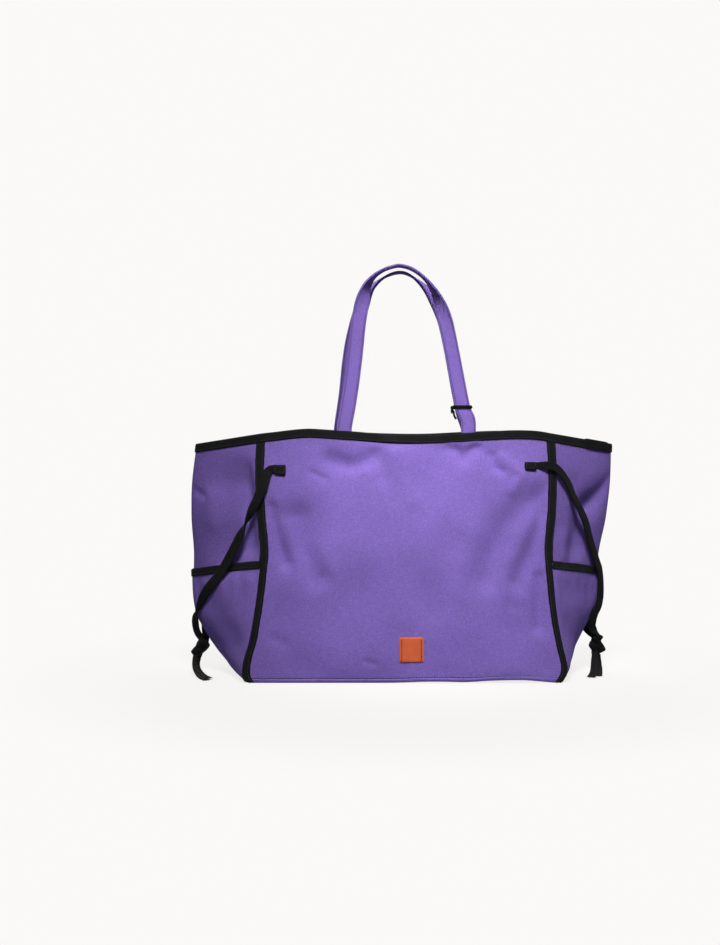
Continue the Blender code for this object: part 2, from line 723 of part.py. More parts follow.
def handle_sections(way):
    """The sections of a handle in its own plane, where x is across, y is its normal and z is up."""
    spread, rise, places = handle_sizes(way)
    half = spread / 2
    left = [(-share * half + up**2 * HANDLE_CROWN_SHIFT, 0, up * rise) for up, share in places]
    right = [(share * half + up**2 * HANDLE_CROWN_SHIFT, 0, up * rise) for up, share in places]
    middles = smooth_route(left + right[-2::-1], HANDLE_STEPS_PER_SPAN)
    sections = []
    for index, middle in enumerate(middles):
        before, after = (middles[max(index - 1, 0)], middles[min(index + 1, len(middles) - 1)])
        along = unit(after - before)
        if index in (0, len(middles) - 1):
            along = np.array([0, 0, math.copysign(1, along[2])])
        normal = np.array([0, 1, 0])
        across = unit(np.cross(normal, along))
        part = (middle[2] / rise - TWIST_START_SHARE) / (TWIST_END_SHARE - TWIST_START_SHARE)
        turn = math.pi / 2 * smooth_step(part)
        wide = across * math.cos(turn) + way * normal * math.sin(turn)
        sections.append((middle, wide * HANDLE_WIDTH / 2, np.cross(wide, along) * HANDLE_THICKNESS / 2))
    return rounded_ends(sections)


def rounded_ends(sections):
    """Adds to both ends the sections that round them about the handle's axis."""

    def cap(section):
        middle, wide, thick = section
        down = np.array([0, 0, -HANDLE_THICKNESS / 2])
        return [(middle + down * past, wide, thick * share) for past, share in HANDLE_END_SHARES]

    return [*cap(sections[0]), *sections, *reversed(cap(sections[-1]))]


def make_handle(name, way):
    """A strap handle, with its origin on the line that it turns about."""
    handle = add_object(name, strap_mesh(name, handle_sections(way)), purple_canvas(name))
    y, height = handle_axis(way)
    handle.location = (0, y, height)
    handle.rotation_euler = (way * handle_lean(way), 0, 0)
    return handle


def make_handle_tab(name, way, side):
    """The sewn end of a handle, inside a panel, up to the handle's hinge line."""
    wall = "front" if way < 0 else "back"
    y, height = handle_axis(way)
    x = side * handle_sizes(way)[0] / 2
    stop = height - HANDLE_THICKNESS / 2 - GAP
    rim = facet_point(wall, LAST_ROW, column_at(wall, LAST_ROW, x))
    sections = []
    wide = np.array([HANDLE_WIDTH / 2, 0, 0])
    row = row_at(wall, column_at(wall, LAST_ROW, x), rim[2] - HANDLE_TAB_LENGTH)
    foot = facet_point(wall, row, column_at(wall, row, x))
    top = np.array([x, y, stop])
    bend = np.array([x, y, rim[2]])
    low = np.array([x, y + foot[1] - rim[1], foot[2]])
    for place, along in ((low, bend - low), (bend, top - low), (top, top - bend)):
        thick = unit(np.cross(wide, along)) * HANDLE_THICKNESS / 2
        sections.append((place, wide, thick))
    add_object(name, strap_mesh(name, sections), purple_canvas(name))


def strap_frame(sections, up):
    """The place and turn of a strap on its right-hand leg at a height in its own plane."""
    right = [section for section in sections if section[0][0] > 0]
    middle, wide, thick = min(right, key=lambda section: abs(section[0][2] - up))
    x, y = (unit(-wide), unit(thick))
    axes = Matrix((x, y, np.cross(x, y))).transposed().to_4x4()
    return Matrix.Translation(Vector(middle)) @ axes


def band_outline(curve, half_wide, half_thick, corner):
    """One closed line of a flat outline: a rectangle with its corners cut."""
    steps = (
        (half_wide, half_thick - corner), (half_wide - corner, half_thick),
        (corner - half_wide, half_thick), (-half_wide, half_thick - corner),
        (-half_wide, corner - half_thick), (corner - half_wide, -half_thick),
        (half_wide - corner, -half_thick), (half_wide, corner - half_thick),
    )
    line = curve.splines.new("POLY")
    line.points.add(len(steps) - 1)
    for point, (x, y) in zip(line.points, steps):
        point.co = (x, y, 0, 1)
    line.use_cyclic_u = True


def make_band(handle):
    """The black band knotted round the front handle's right-hand leg, and its hanging end."""
    frame = strap_frame(handle_sections(-1), BAND_UP_THE_LEG)
    inner_wide = HANDLE_WIDTH / 2 + GAP
    inner_thick = HANDLE_THICKNESS / 2 + GAP
    outline = bpy.data.curves.new("handle_band", "CURVE")
    outline.dimensions = "2D"
    outline.fill_mode = "BOTH"
    outline.extrude = BAND_HEIGHT / 2
    band_outline(outline, inner_wide + BAND_THICKNESS, inner_thick + BAND_THICKNESS, BAND_THICKNESS)
    band_outline(outline, inner_wide, inner_thick, GAP)
    band = add_object("handle_band", outline, black_cotton("handle_band"))
    band.parent = handle
    band.matrix_local = frame
    wire = bpy.data.curves.new("handle_band_end", "CURVE")
    wire.dimensions = "3D"
    wire.bevel_depth = BAND_TAIL_RADIUS
    wire.bevel_resolution = 1
    wire.use_fill_caps = True
    line = wire.splines.new("POLY")
    x = -inner_wide - BAND_THICKNESS - BAND_TAIL_RADIUS - GAP
    bend = (x - BAND_TAIL_RADIUS / 2, -BAND_TAIL_LENGTH / 2)
    places = ((x, BAND_HEIGHT / 2), (x, 0), bend, (x, -BAND_TAIL_LENGTH))
    line.points.add(len(places) - 1)
    for point, (across, up) in zip(line.points, places):
        point.co = (across, 0, up, 1)
    tail = add_object("handle_band_end", wire, black_cotton("handle_band_end"))
    tail.parent = handle
    tail.matrix_local = frame


def make_walls():
    make_base()
    make_wall("front", "front_panel")
    make_wall("back", "back_panel")
    make_wall("left", "left_gusset")
    make_wall("right", "right_gusset")
    make_pocket("left", "left_pocket")
    make_pocket("right", "right_pocket")


def make_trim():
    make_rim_binding()
    make_seam_tape("front", "right", "front_right_seam_tape")
    make_seam_tape("right", "back", "back_right_seam_tape")
    make_seam_tape("back", "left", "back_left_seam_tape")
    make_seam_tape("left", "front", "front_left_seam_tape")
    make_patch()


def make_handles():
    front = make_handle("front_handle", -1)
    make_handle("back_handle", 1)
    for wall, way in (("front", -1), ("back", 1)):
        make_handle_tab(wall + "_left_handle_tab", way, -1)
        make_handle_tab(wall + "_right_handle_tab", way, 1)
    make_band(front)


def make_side_ties(side, wall, knot, tie_rows, tail_rows):
    """One tie: its stitched end, its free length down to the knot and its tail."""
    way = -1 if wall == "front" else 1
    name = side + "_" + wall + "_tie"
    make_tie_stitch(name + "_stitch", wall, side, tie_rows)
    tie_end = knot + np.array(KNOT_TO_TIE) * (way, way, 1)
    tie = [(beside_wing(side, place), look) for place, look in tie_rows]
    make_tie(name, [*tie, (tie_end, (0, way, 0))])
    tail_start = knot + np.array(KNOT_TO_TAIL) * (way, way, 1)
    tail = [(beside_wing(side, place), look) for place, look in tail_rows]
    make_tie(name + "_tail", [(tail_start, (0, -1, 0)), *tail])


def make_ties():
    left_knot = beside_wing("left", LEFT_KNOT_SHARES)
    right_knot = beside_wing("right", RIGHT_KNOT_SHARES)
    make_knot("left_tie_knot", left_knot)
    make_knot("right_tie_knot", right_knot)
    make_side_ties("left", "front", left_knot, LEFT_FRONT_TIE_SHARES, LEFT_FRONT_TAIL_SHARES)
    make_side_ties("left", "back", left_knot, LEFT_BACK_TIE_SHARES, LEFT_BACK_TAIL_SHARES)
    make_side_ties("right", "front", right_knot, RIGHT_FRONT_TIE_SHARES, RIGHT_FRONT_TAIL_SHARES)
    make_side_ties("right", "back", right_knot, RIGHT_BACK_TIE_SHARES, RIGHT_BACK_TAIL_SHARES)


clear_scene()
PARTS = bpy.data.collections.new("tote_bag")
bpy.context.scene.collection.children.link(PARTS)
make_walls()
make_trim()
make_handles()
make_ties()
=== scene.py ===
"""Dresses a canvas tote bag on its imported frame.

The bag is one lofted shell of soft cloth: two panels and two gussets that fold out into wings.
Tapes, bindings, pockets, strap handles, ties and a leather patch lie on that shell. Units are
metres, +X is to the right as the front is seen, -Y is the front and +Z is up.
"""

from __future__ import annotations

import json
import logging
import math
from dataclasses import dataclass
from enum import Enum

import bpy
import numpy as np
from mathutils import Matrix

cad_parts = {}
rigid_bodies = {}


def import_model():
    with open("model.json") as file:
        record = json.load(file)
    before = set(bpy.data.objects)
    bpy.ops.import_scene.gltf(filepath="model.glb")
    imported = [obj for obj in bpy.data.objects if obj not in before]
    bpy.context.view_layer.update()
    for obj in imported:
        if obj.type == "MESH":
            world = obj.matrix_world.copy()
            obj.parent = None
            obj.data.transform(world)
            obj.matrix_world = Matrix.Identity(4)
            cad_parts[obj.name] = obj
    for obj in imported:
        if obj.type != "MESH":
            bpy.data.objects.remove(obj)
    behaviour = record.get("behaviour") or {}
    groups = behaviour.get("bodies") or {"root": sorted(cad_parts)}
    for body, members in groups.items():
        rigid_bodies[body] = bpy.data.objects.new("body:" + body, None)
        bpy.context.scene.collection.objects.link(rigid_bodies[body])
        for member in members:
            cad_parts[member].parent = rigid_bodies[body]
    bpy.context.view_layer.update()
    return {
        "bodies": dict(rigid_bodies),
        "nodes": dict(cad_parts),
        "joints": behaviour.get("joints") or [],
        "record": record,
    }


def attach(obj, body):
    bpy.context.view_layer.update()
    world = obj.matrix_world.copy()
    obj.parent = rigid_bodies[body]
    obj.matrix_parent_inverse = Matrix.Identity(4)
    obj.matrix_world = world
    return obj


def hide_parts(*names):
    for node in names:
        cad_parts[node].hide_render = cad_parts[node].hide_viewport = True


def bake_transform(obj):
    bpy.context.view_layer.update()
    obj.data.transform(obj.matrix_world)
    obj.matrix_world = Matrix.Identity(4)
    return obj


LOG = logging.getLogger("tote_bag")
Array = np.ndarray
Material = bpy.types.Material
Piece = bpy.types.Object
Socket = bpy.types.NodeSocket
Rows = tuple[tuple[float, ...], ...]
Place = tuple[float, float, float]


class Wall(Enum):
    """The four walls, in the order that goes round the bag."""

    FRONT = "front"
    RIGHT = "right"
    BACK = "back"
    LEFT = "left"

    @property
    def is_panel(self) -> bool:
        """Tells the two panels from the two gussets."""
        return self in (Wall.FRONT, Wall.BACK)


class Way(Enum):
    """One of two opposite ways, as -1 or 1."""

    @property
    def word(self) -> str:
        """Gives the way as it stands in the names of pieces."""
        return self.name.lower()

    @property
    def wall(self) -> Wall:
        """Gives the wall that faces this way."""
        return Wall[self.name]


class Side(Way):
    """The left or the right of the bag, as the front is seen."""

    LEFT = -1
    RIGHT = 1


class Face(Way):
    """The front or the back of the bag."""

    FRONT = -1
    BACK = 1


def table(*rows: tuple[int, ...]) -> Rows:
    """Reads rows of ten-thousandths, which for a place are tenths of a millimetre."""
    return tuple(tuple(value / 10000 for value in row) for row in rows)


def follow(rows: Rows, at: Array) -> Array:
    """Reads a smooth line through a table.

    Args:
        rows: (place, value) pairs, in order.
        at: The places to read.

    Returns:
        The values there.
    """
    places, values = (np.array(column, float) for column in zip(*rows))
    slopes = np.gradient(values, places)
    at = np.clip(at, places[0], places[-1])
    index = np.clip(np.searchsorted(places, at, side="right") - 1, 0, len(places) - 2)
    span = places[index + 1] - places[index]
    part = (at - places[index]) / span
    start = (1 + 2 * part) * (1 - part) ** 2 * values[index]
    start = start + part * (1 - part) ** 2 * span * slopes[index]
    end = part**2 * (3 - 2 * part) * values[index + 1]
    return start + end - part**2 * (1 - part) * span * slopes[index + 1]


def ease(part: Array) -> Array:
    """Eases from 0 to 1 with no corner at either end."""
    part = np.clip(part, 0, 1)
    return part * part * (3 - 2 * part)


def unit(vectors: Array) -> Array:
    """Gives vectors a length of one."""
    return vectors / np.maximum(np.linalg.norm(vectors, axis=-1, keepdims=True), 1e-12)


def grid_normals(grid: Array) -> Array:
    """Finds the outward normals of a grid whose rows go up and whose columns go round."""
    return unit(np.cross(np.gradient(grid, axis=1), np.gradient(grid, axis=0)))


def cloth_map(grid: Array) -> Array:
    """Lays a grid of points flat, so that a weave keeps its size.

    Args:
        grid: Rows of points on the cloth.

    Returns:
        The distance across from the middle and the distance up, in metres, a point.
    """
    across = np.cumsum(np.linalg.norm(np.diff(grid, axis=1), axis=2), axis=1)
    up = np.cumsum(np.linalg.norm(np.diff(grid, axis=0), axis=2), axis=0)
    across = np.pad(across, ((0, 0), (1, 0)))
    return np.stack([across - across[:, -1:] / 2, np.pad(up, ((1, 0), (0, 0)))], axis=2)


def quads(rows: int, columns: int, closed: bool, offset: int = 0) -> Array:
    """Numbers the faces of a grid.

    Args:
        rows: How many rows the grid has.
        columns: How many columns it has.
        closed: Whether the last column meets the first.
        offset: The number of the grid's first point.

    Returns:
        Four point numbers a face.
    """
    row, column = np.meshgrid(
        np.arange(rows - 1), np.arange(columns if closed else columns - 1), indexing="ij"
    )
    after = (column + 1) % columns
    low, high = row * columns, (row + 1) * columns
    faces = np.stack([low + column, low + after, high + after, high + column], axis=-1)
    return faces.reshape(-1, 4) + offset


def make_piece(
    name: str, points: Array, faces: list, finish: Material, flat: Array | None = None
) -> Piece:
    """Makes a mesh piece with smooth shading.

    Args:
        name: The piece's name.
        points: Its points, in the bag's frame.
        faces: The point numbers of each face.
        finish: Its material.
        flat: Each point's place on the flat cloth, in metres, if it has a weave.

    Returns:
        The new piece.
    """
    mesh = bpy.data.meshes.new(name)
    mesh.from_pydata(points.reshape(-1, 3).tolist(), [], faces)
    mesh.update()
    if flat is not None:
        corners = np.empty(len(mesh.loops), int)
        mesh.loops.foreach_get("vertex_index", corners)
        layer = mesh.uv_layers.new(name="cloth")
        layer.uv.foreach_set("vector", flat.reshape(-1, 2)[corners].astype(np.float32).ravel())
    mesh.materials.append(finish)
    mesh.shade_smooth()
    mesh.set_sharp_from_angle(angle=math.radians(50))
    piece = bpy.data.objects.new(name, mesh)
    bpy.context.scene.collection.objects.link(piece)
    return piece


def make_layer(name: str, over: Array, under: Array, finish: Material) -> Piece:
    """Makes a closed layer of cloth between two like grids.

    Args:
        name: The piece's name.
        over: The outer grid of points.
        under: The inner grid of points.
        finish: Its material.

    Returns:
        The new piece.
    """
    rows, columns = over.shape[:2]
    count = rows * columns
    faces = [quads(rows, columns, False), quads(rows, columns, False, count)[:, ::-1]]
    ring = np.arange(count).reshape(rows, columns)
    for edge in (ring[0], ring[-1, ::-1], ring[::-1, 0], ring[:, -1]):
        start, end = edge[:-1], edge[1:]
        faces.append(np.stack([start, start + count, end + count, end], axis=-1))
    points = np.concatenate([over.reshape(-1, 3), under.reshape(-1, 3)])
    maps = np.concatenate([cloth_map(over).reshape(-1, 2)] * 2)
    return make_piece(name, points, np.concatenate(faces).tolist(), finish, maps)


def loft_faces(rows: int, columns: int, first: int = 0) -> list[list[int]]:
    """Numbers the faces of a loft with closed ends.

    Args:
        rows: How many rings it has.
        columns: How many points each ring has.
        first: The number of its first point.

    Returns:
        The point numbers of each face.
    """
    last = first + (rows - 1) * columns
    ends = [list(range(first, first + columns))[::-1], list(range(last, last + columns))]
    return quads(rows, columns, True, first).tolist() + ends


def make_loft(name: str, rings: Array, finish: Material) -> Piece:
    """Makes a closed solid through rings that have the same number of points."""
    return make_piece(name, rings, loft_faces(*rings.shape[:2]), finish, cloth_map(rings))


def make_lofts(name: str, lofts: Array, finish: Material) -> Piece:
    """Makes one piece of many small lofts.

    Args:
        name: The piece's name.
        lofts: The rings of each loft.
        finish: Its material.

    Returns:
        The new piece.
    """
    count, rows, columns = lofts.shape[:3]
    faces = []
    for index in range(count):
        faces += loft_faces(rows, columns, index * rows * columns)
    return make_piece(name, lofts, faces, finish)


def round_rings(
    line: Array, side: Array, above: Array, radius: Array | float, count: int
) -> Array:
    """Draws a ring round each point of a line.

    Args:
        line: The line's points.
        side: A way across the line at each of them.
        above: The way across both.
        radius: The rings' radius.
        count: How many points a ring has.

    Returns:
        The rings' points.
    """
    turns = np.arange(count)[:, None] * 2 * math.pi / count
    ring = side[..., None, :] * np.cos(turns) + above[..., None, :] * np.sin(turns)
    return line[..., None, :] + ring * np.asarray(radius)[..., None, None]


def tape_rings(line: Array, wide: Array, thick: Array, outline: Array) -> Array:
    """Draws a flat outline of (across, through) pairs at each point of a line."""
    return line[:, None] + wide[:, None] * outline[..., :1] + thick[:, None] * outline[..., 1:]


def spread_out(line: Array, step: float) -> tuple[Array, Array]:
    """Finds the distances along a line of its points, and of evenly spaced places."""
    run = np.concatenate([[0], np.cumsum(np.linalg.norm(np.diff(line, axis=0), axis=1))])
    return run, np.arange(step / 2, run[-1] - step / 2, step)


def read_line(run: Array, line: Array, at: Array) -> Array:
    """Reads points along a line at distances from its start."""
    return np.stack([np.interp(at, run, line[:, axis]) for axis in range(line.shape[1])], axis=-1)


def smooth_route(points: Array, steps: int) -> Array:
    """Curves smoothly through points.

    Args:
        points: The points to pass through.
        steps: How many steps each span gets.

    Returns:
        The points of the curve.
    """
    ends = np.concatenate([[2 * points[0] - points[1]], points, [2 * points[-1] - points[-2]]])
    part = (np.arange(steps) / steps)[:, None]
    route = []
    for before, start, end, after in zip(ends, ends[1:], ends[2:], ends[3:]):
        bend = 2 * start + (end - before) * part
        bend = bend + (2 * before - 5 * start + 4 * end - after) * part**2
        bend = bend + (3 * start - 3 * end + after - before) * part**3
        route.append(bend / 2)
    return np.concatenate([*route, points[-1:]])


class Bench:
    """The nodes of a material or of the world, with short ways to add and join them."""

    def __init__(self, holder: Material | bpy.types.World, bare: bool = False) -> None:
        """Opens the nodes.

        Args:
            holder: The material or the world.
            bare: Whether the nodes that it starts with are taken out.
        """
        holder.use_nodes = True
        self.holder = holder
        self.tree = holder.node_tree
        self.shader = self.tree.nodes.get("Principled BSDF")
        if bare:
            self.tree.nodes.clear()

    def feed(self, socket: Socket, value: object) -> None:
        """Joins another socket to this one, or sets its value.

        Args:
            socket: The socket to feed.
            value: Another socket, a number, or a colour's three numbers.
        """
        if isinstance(value, Socket):
            self.tree.links.new(value, socket)
        else:
            socket.default_value = (*value, 1) if socket.type == "RGBA" else value

    def node(self, kind: str, *inputs: object, **settings: object) -> bpy.types.Node:
        """Adds a node.

        Args:
            kind: Its type.
            *inputs: What its first sockets are fed, in order.
            **settings: Its own settings.

        Returns:
            The node.
        """
        node = self.tree.nodes.new(kind)
        for key, value in settings.items():
            setattr(node, key, value)
        for socket, value in zip(node.inputs, inputs):
            self.feed(socket, value)
        return node

    def step(self, operation: str, *values: object) -> Socket:
        """Adds one step of arithmetic."""
        return self.node("ShaderNodeMath", *values, operation=operation).outputs[0]

    def times(self, first: object, second: object) -> Socket:
        """Multiplies two values."""
        return self.step("MULTIPLY", first, second)

    def plus(self, first: object, second: object) -> Socket:
        """Adds two values."""
        return self.step("ADD", first, second)

    def ramp(
        self, value: object, low: float, high: float, to: tuple[float, float] = (0.0, 1.0)
    ) -> Socket:
        """Maps a range of values smoothly to another."""
        values = (value, low, high, *to)
        return self.node("ShaderNodeMapRange", *values, interpolation_type="SMOOTHSTEP").outputs[0]

    def mix(self, share: object, first: object, second: object, blend: str = "MIX") -> Socket:
        """Mixes two colours.

        Args:
            share: How much of the second colour there is.
            first: The first colour.
            second: The second colour.
            blend: How they are mixed.

        Returns:
            The mixed colour.
        """
        node = self.node("ShaderNodeMix", share, data_type="RGBA", blend_type=blend)
        self.feed(node.inputs[6], first)
        self.feed(node.inputs[7], second)
        return node.outputs[2]

    def noise(self, where: object, scale: float, detail: float = 2.0) -> Socket:
        """Adds soft noise.

        Args:
            where: The place that it is read at.
            scale: How many patches it has a metre.
            detail: How many finer layers it has.

        Returns:
            The noise, from 0 to 1.
        """
        node = self.node("ShaderNodeTexNoise", where, normalize=True)
        self.feed(node.inputs["Scale"], scale)
        self.feed(node.inputs["Detail"], detail)
        return node.outputs["Fac"]

    def cells(self, scale: float, feature: str) -> Socket:
        """Adds the distances in a pattern of cells in the bag's frame.

        Args:
            scale: How many cells there are a metre.
            feature: What the distance is measured to.

        Returns:
            The distance.
        """
        node = self.node("ShaderNodeTexVoronoi", self.body_place(), feature=feature)
        self.feed(node.inputs["Scale"], scale)
        return node.outputs["Distance"]

    def yarns(self, place: Socket, across: float, up: float) -> Socket:
        """Adds noise that is drawn out along a yarn.

        Args:
            place: The place on the flat cloth.
            across: How many patches there are a metre, across the cloth.
            up: How many there are up it.

        Returns:
            The noise, from 0 to 1.
        """
        node = self.node("ShaderNodeMapping", place)
        self.feed(node.inputs["Scale"], (across, up, 1))
        return self.noise(node.outputs[0], 1.0, 1.0)

    def cloth_place(self) -> tuple[Socket, Socket, Socket]:
        """Gives the place on the flat cloth, and its two numbers.

        Returns:
            The place, the distance across and the distance up.
        """
        place = self.node("ShaderNodeUVMap", uv_map="cloth").outputs[0]
        split = self.node("ShaderNodeSeparateXYZ", place)
        return place, split.outputs[0], split.outputs[1]

    def body_place(self) -> Socket:
        """Gives the place in the bag's own frame."""
        return self.node("ShaderNodeTexCoord").outputs["Object"]

    def relief(self, height: object, depth: float) -> None:
        """Roughens the surface.

        Args:
            height: The height, from 0 to 1.
            depth: What a height of 1 stands for.
        """
        bump = self.node("ShaderNodeBump")
        self.feed(bump.inputs["Distance"], depth)
        self.feed(bump.inputs["Height"], height)
        self.feed(self.shader.inputs["Normal"], bump.outputs[0])

    def shade(self, **values: object) -> Material:
        """Feeds the shader's sockets by name.

        Args:
            **values: What each is fed, with _ for a space in its name.

        Returns:
            The material.
        """
        for key, value in values.items():
            self.feed(self.shader.inputs[key.replace("_", " ")], value)
        return self.holder


@dataclass(frozen=True)
class CanvasFinish:
    """Plain-woven yarn-dye cotton canvas: slubs, soft mottle, lint, painted shade in grooves."""

    name: str
    colour: Place = (0.262, 0.168, 0.560)
    # Painted shade: the darker colour of the grooves between the yarns
    groove: Place = (0.165, 0.100, 0.390)
    lint: Place = (0.60, 0.52, 0.74)
    yarn: float = 0.00062
    mottle: float = 0.07
    depth: float = 0.00024

    def make(self) -> Material:
        """Builds the material.

        Returns:
            The material.
        """
        bench = Bench(bpy.data.materials.new(self.name))
        place, *ways = bench.cloth_place()
        drift = bench.times(bench.noise(place, 220.0), self.yarn * 0.9)
        warp, weft = (
            bench.step("SINE", bench.times(bench.plus(way, drift), math.pi / self.yarn))
            for way in ways
        )
        cell = bench.step("POWER", bench.step("ABSOLUTE", bench.times(warp, weft)), 0.45)
        slubs = bench.yarns(place, 1500.0, 90.0), bench.yarns(place, 90.0, 1500.0)
        slub = bench.times(bench.plus(*slubs), 0.5)
        patches = bench.noise(bench.body_place(), 9.0, 4.0)
        cloud = bench.ramp(patches, 0.3, 0.7, (1 - self.mottle, 1 + self.mottle))
        grain = bench.times(bench.ramp(slub, 0.32, 0.68, (0.93, 1.06)), cloud)
        fleck = bench.ramp(bench.noise(bench.body_place(), 760.0), 0.3, 0.7, (0.86, 1.14))
        tint = bench.node("ShaderNodeCombineColor", *[bench.times(grain, fleck)] * 3).outputs[0]
        # Painted shade in the grooves between the yarns, times the cloth's own tone of slubs,
        # mottling and flecks
        tone_and_groove_shade = bench.mix(1.0, bench.mix(cell, self.groove, self.colour), tint, "MULTIPLY")
        speck = bench.ramp(bench.cells(38.0, "F1"), 0.012, 0.03, (0.55, 0.0))
        bench.relief(bench.plus(bench.times(cell, 0.7), bench.times(slub, 0.5)), self.depth)
        return bench.shade(
            Base_Color=bench.mix(speck, tone_and_groove_shade, self.lint),
            Roughness=bench.ramp(patches, 0.3, 0.7, (0.80, 0.92)),
            Specular_IOR_Level=0.10, Sheen_Weight=0.03, Sheen_Roughness=0.5,
        )


@dataclass(frozen=True)
class TapeFinish:
    """Black fine-twill cotton tape: dusty grey in worn patches, painted highlight on high yarns.
    """

    name: str
    colour: Place = (0.0050, 0.0050, 0.0056)
    # Dusty grey in worn patches, and a painted highlight on the high yarns
    dust: Place = (0.0115, 0.0113, 0.0122)
    rib: float = 0.0011
    depth: float = 0.00018

    def make(self) -> Material:
        """Builds the material.

        Returns:
            The material.
        """
        bench = Bench(bpy.data.materials.new(self.name))
        place, across, up = bench.cloth_place()
        slant = bench.plus(bench.step("ABSOLUTE", across), up)
        drift = bench.times(bench.noise(place, 300.0), self.rib * 0.8)
        wave = bench.times(bench.plus(slant, drift), 2 * math.pi / self.rib)
        twill = bench.step("MULTIPLY_ADD", bench.step("SINE", wave), 0.5, 0.5)
        yarn = bench.yarns(place, 1800.0, 300.0)
        patches = bench.noise(bench.body_place(), 45.0, 3.0)
        worn = bench.times(bench.ramp(patches, 0.42, 0.75), bench.ramp(yarn, 0.35, 0.7))
        # Painted highlight: within worn patches the dusty grey is strongest on the twill's high
        # yarns
        dust_and_ridge_highlight = bench.times(worn, bench.ramp(twill, 0.2, 0.9, (0.4, 1.0)))
        bench.relief(bench.plus(bench.times(twill, 0.7), bench.times(yarn, 0.5)), self.depth)
        return bench.shade(
            Base_Color=bench.mix(dust_and_ridge_highlight, self.colour, self.dust),
            Roughness=bench.ramp(patches, 0.3, 0.7, (0.78, 0.92)),
            Specular_IOR_Level=0.11, Sheen_Weight=0.012, Sheen_Roughness=0.45,
        )


@dataclass(frozen=True)
class LeatherFinish:
    """Smooth orange-brown leather with a fine grain and soft scuffs."""

    name: str
    colour: Place = (0.760, 0.138, 0.040)
    deep: Place = (0.480, 0.076, 0.022)
    scuffed: Place = (0.66, 0.19, 0.07)
    depth: float = 0.00012

    def make(self) -> Material:
        """Builds the material.

        Returns:
            The material.
        """
        bench = Bench(bpy.data.materials.new(self.name))
        grain = bench.ramp(bench.cells(1500.0, "DISTANCE_TO_EDGE"), 0.0, 0.22)
        patches = bench.noise(bench.body_place(), 130.0, 4.0)
        tone = bench.mix(bench.ramp(patches, 0.34, 0.68), self.deep, self.colour)
        pale = bench.mix(bench.ramp(patches, 0.62, 0.8, (0.0, 0.25)), tone, self.scuffed)
        colour = bench.mix(0.72, pale, self.colour)
        bench.relief(bench.plus(grain, bench.times(patches, 0.6)), self.depth)
        return bench.shade(
            Base_Color=bench.mix(bench.ramp(grain, 0.0, 1.0, (0.18, 0.0)), colour, self.deep),
            Roughness=bench.ramp(patches, 0.3, 0.7, (0.42, 0.6)), Specular_IOR_Level=0.28,
        )


@dataclass(frozen=True)
class ThreadFinish:
    """Twisted sewing thread."""

    name: str
    colour: Place
    twist: float = 2600.0
    depth: float = 0.00008

    def make(self) -> Material:
        """Builds the material.

        Returns:
            The material.
        """
        bench = Bench(bpy.data.materials.new(self.name))
        fibre = bench.noise(bench.body_place(), self.twist)
        dark = tuple(0.6 * value for value in self.colour)
        bench.relief(fibre, self.depth)
        mixed = bench.mix(bench.ramp(fibre, 0.3, 0.7), dark, self.colour)
        return bench.shade(Base_Color=mixed, Roughness=0.6, Specular_IOR_Level=0.35)


@dataclass(frozen=True)
class Finishes:
    """Every material that the bag's pieces share."""

    canvas: Material
    strap: Material
    tape: Material
    tie: Material
    leather: Material
    purple_thread: Material
    black_thread: Material
    brown_thread: Material

    @staticmethod
    def make() -> Finishes:
        """Builds every material once.

        Returns:
            The materials.
        """
        return Finishes(
            canvas=CanvasFinish("purple_canvas").make(),
            strap=CanvasFinish("purple_strap_canvas", yarn=0.0006, mottle=0.06).make(),
            tape=TapeFinish("black_binding_tape").make(),
            tie=TapeFinish("black_tie_tape", rib=0.0009, dust=(0.0100, 0.0098, 0.0106)).make(),
            leather=LeatherFinish("orange_leather").make(),
            # Near-black, far darker than the canvas, so stitch rows read as dark lines: partly
            # painted shade of the stitch dents
            purple_thread=ThreadFinish("purple_thread", (0.010, 0.004, 0.030)).make(),
            black_thread=ThreadFinish("black_thread", (0.034, 0.033, 0.037)).make(),
            brown_thread=ThreadFinish("brown_thread", (0.040, 0.010, 0.008)).make(),
        )


@dataclass(frozen=True)
class Fold:
    """A soft valley in a wall, or a ridge where its depth is negative.

    Attributes:
        line: Its bent line: distance across from the wall's middle, and height.
        reach: How far it spreads to each side.
        depth: How far its middle lies inwards.
    """

    line: Rows
    reach: float
    depth: float

    def sink(self, across: Array, height: Array) -> Array:
        """Finds how far the fold draws places inwards.

        Args:
            across: Their distances across from the wall's middle.
            height: Their heights.

        Returns:
            The distance inwards of each.
        """
        nearest = np.full(across.shape, np.inf)
        for (x0, z0), (x1, z1) in zip(self.line, self.line[1:]):
            run_x, run_z = x1 - x0, z1 - z0
            part = ((across - x0) * run_x + (height - z0) * run_z) / (run_x**2 + run_z**2)
            part = np.clip(part, 0, 1)
            gap = np.hypot(across - x0 - part * run_x, height - z0 - part * run_z)
            nearest = np.minimum(nearest, gap)
        return self.depth * np.exp(-((nearest / self.reach) ** 2))


def read_folds(*rows: tuple[int, ...]) -> tuple[Fold, ...]:
    """Reads the folds of a wall.

    Args:
        *rows: Each fold's reach, its depth and the places of its line.

    Returns:
        The folds.
    """
    return tuple(
        Fold(tuple(zip(places[::2], places[1::2])), reach, depth)
        for reach, depth, *places in table(*rows)
    )


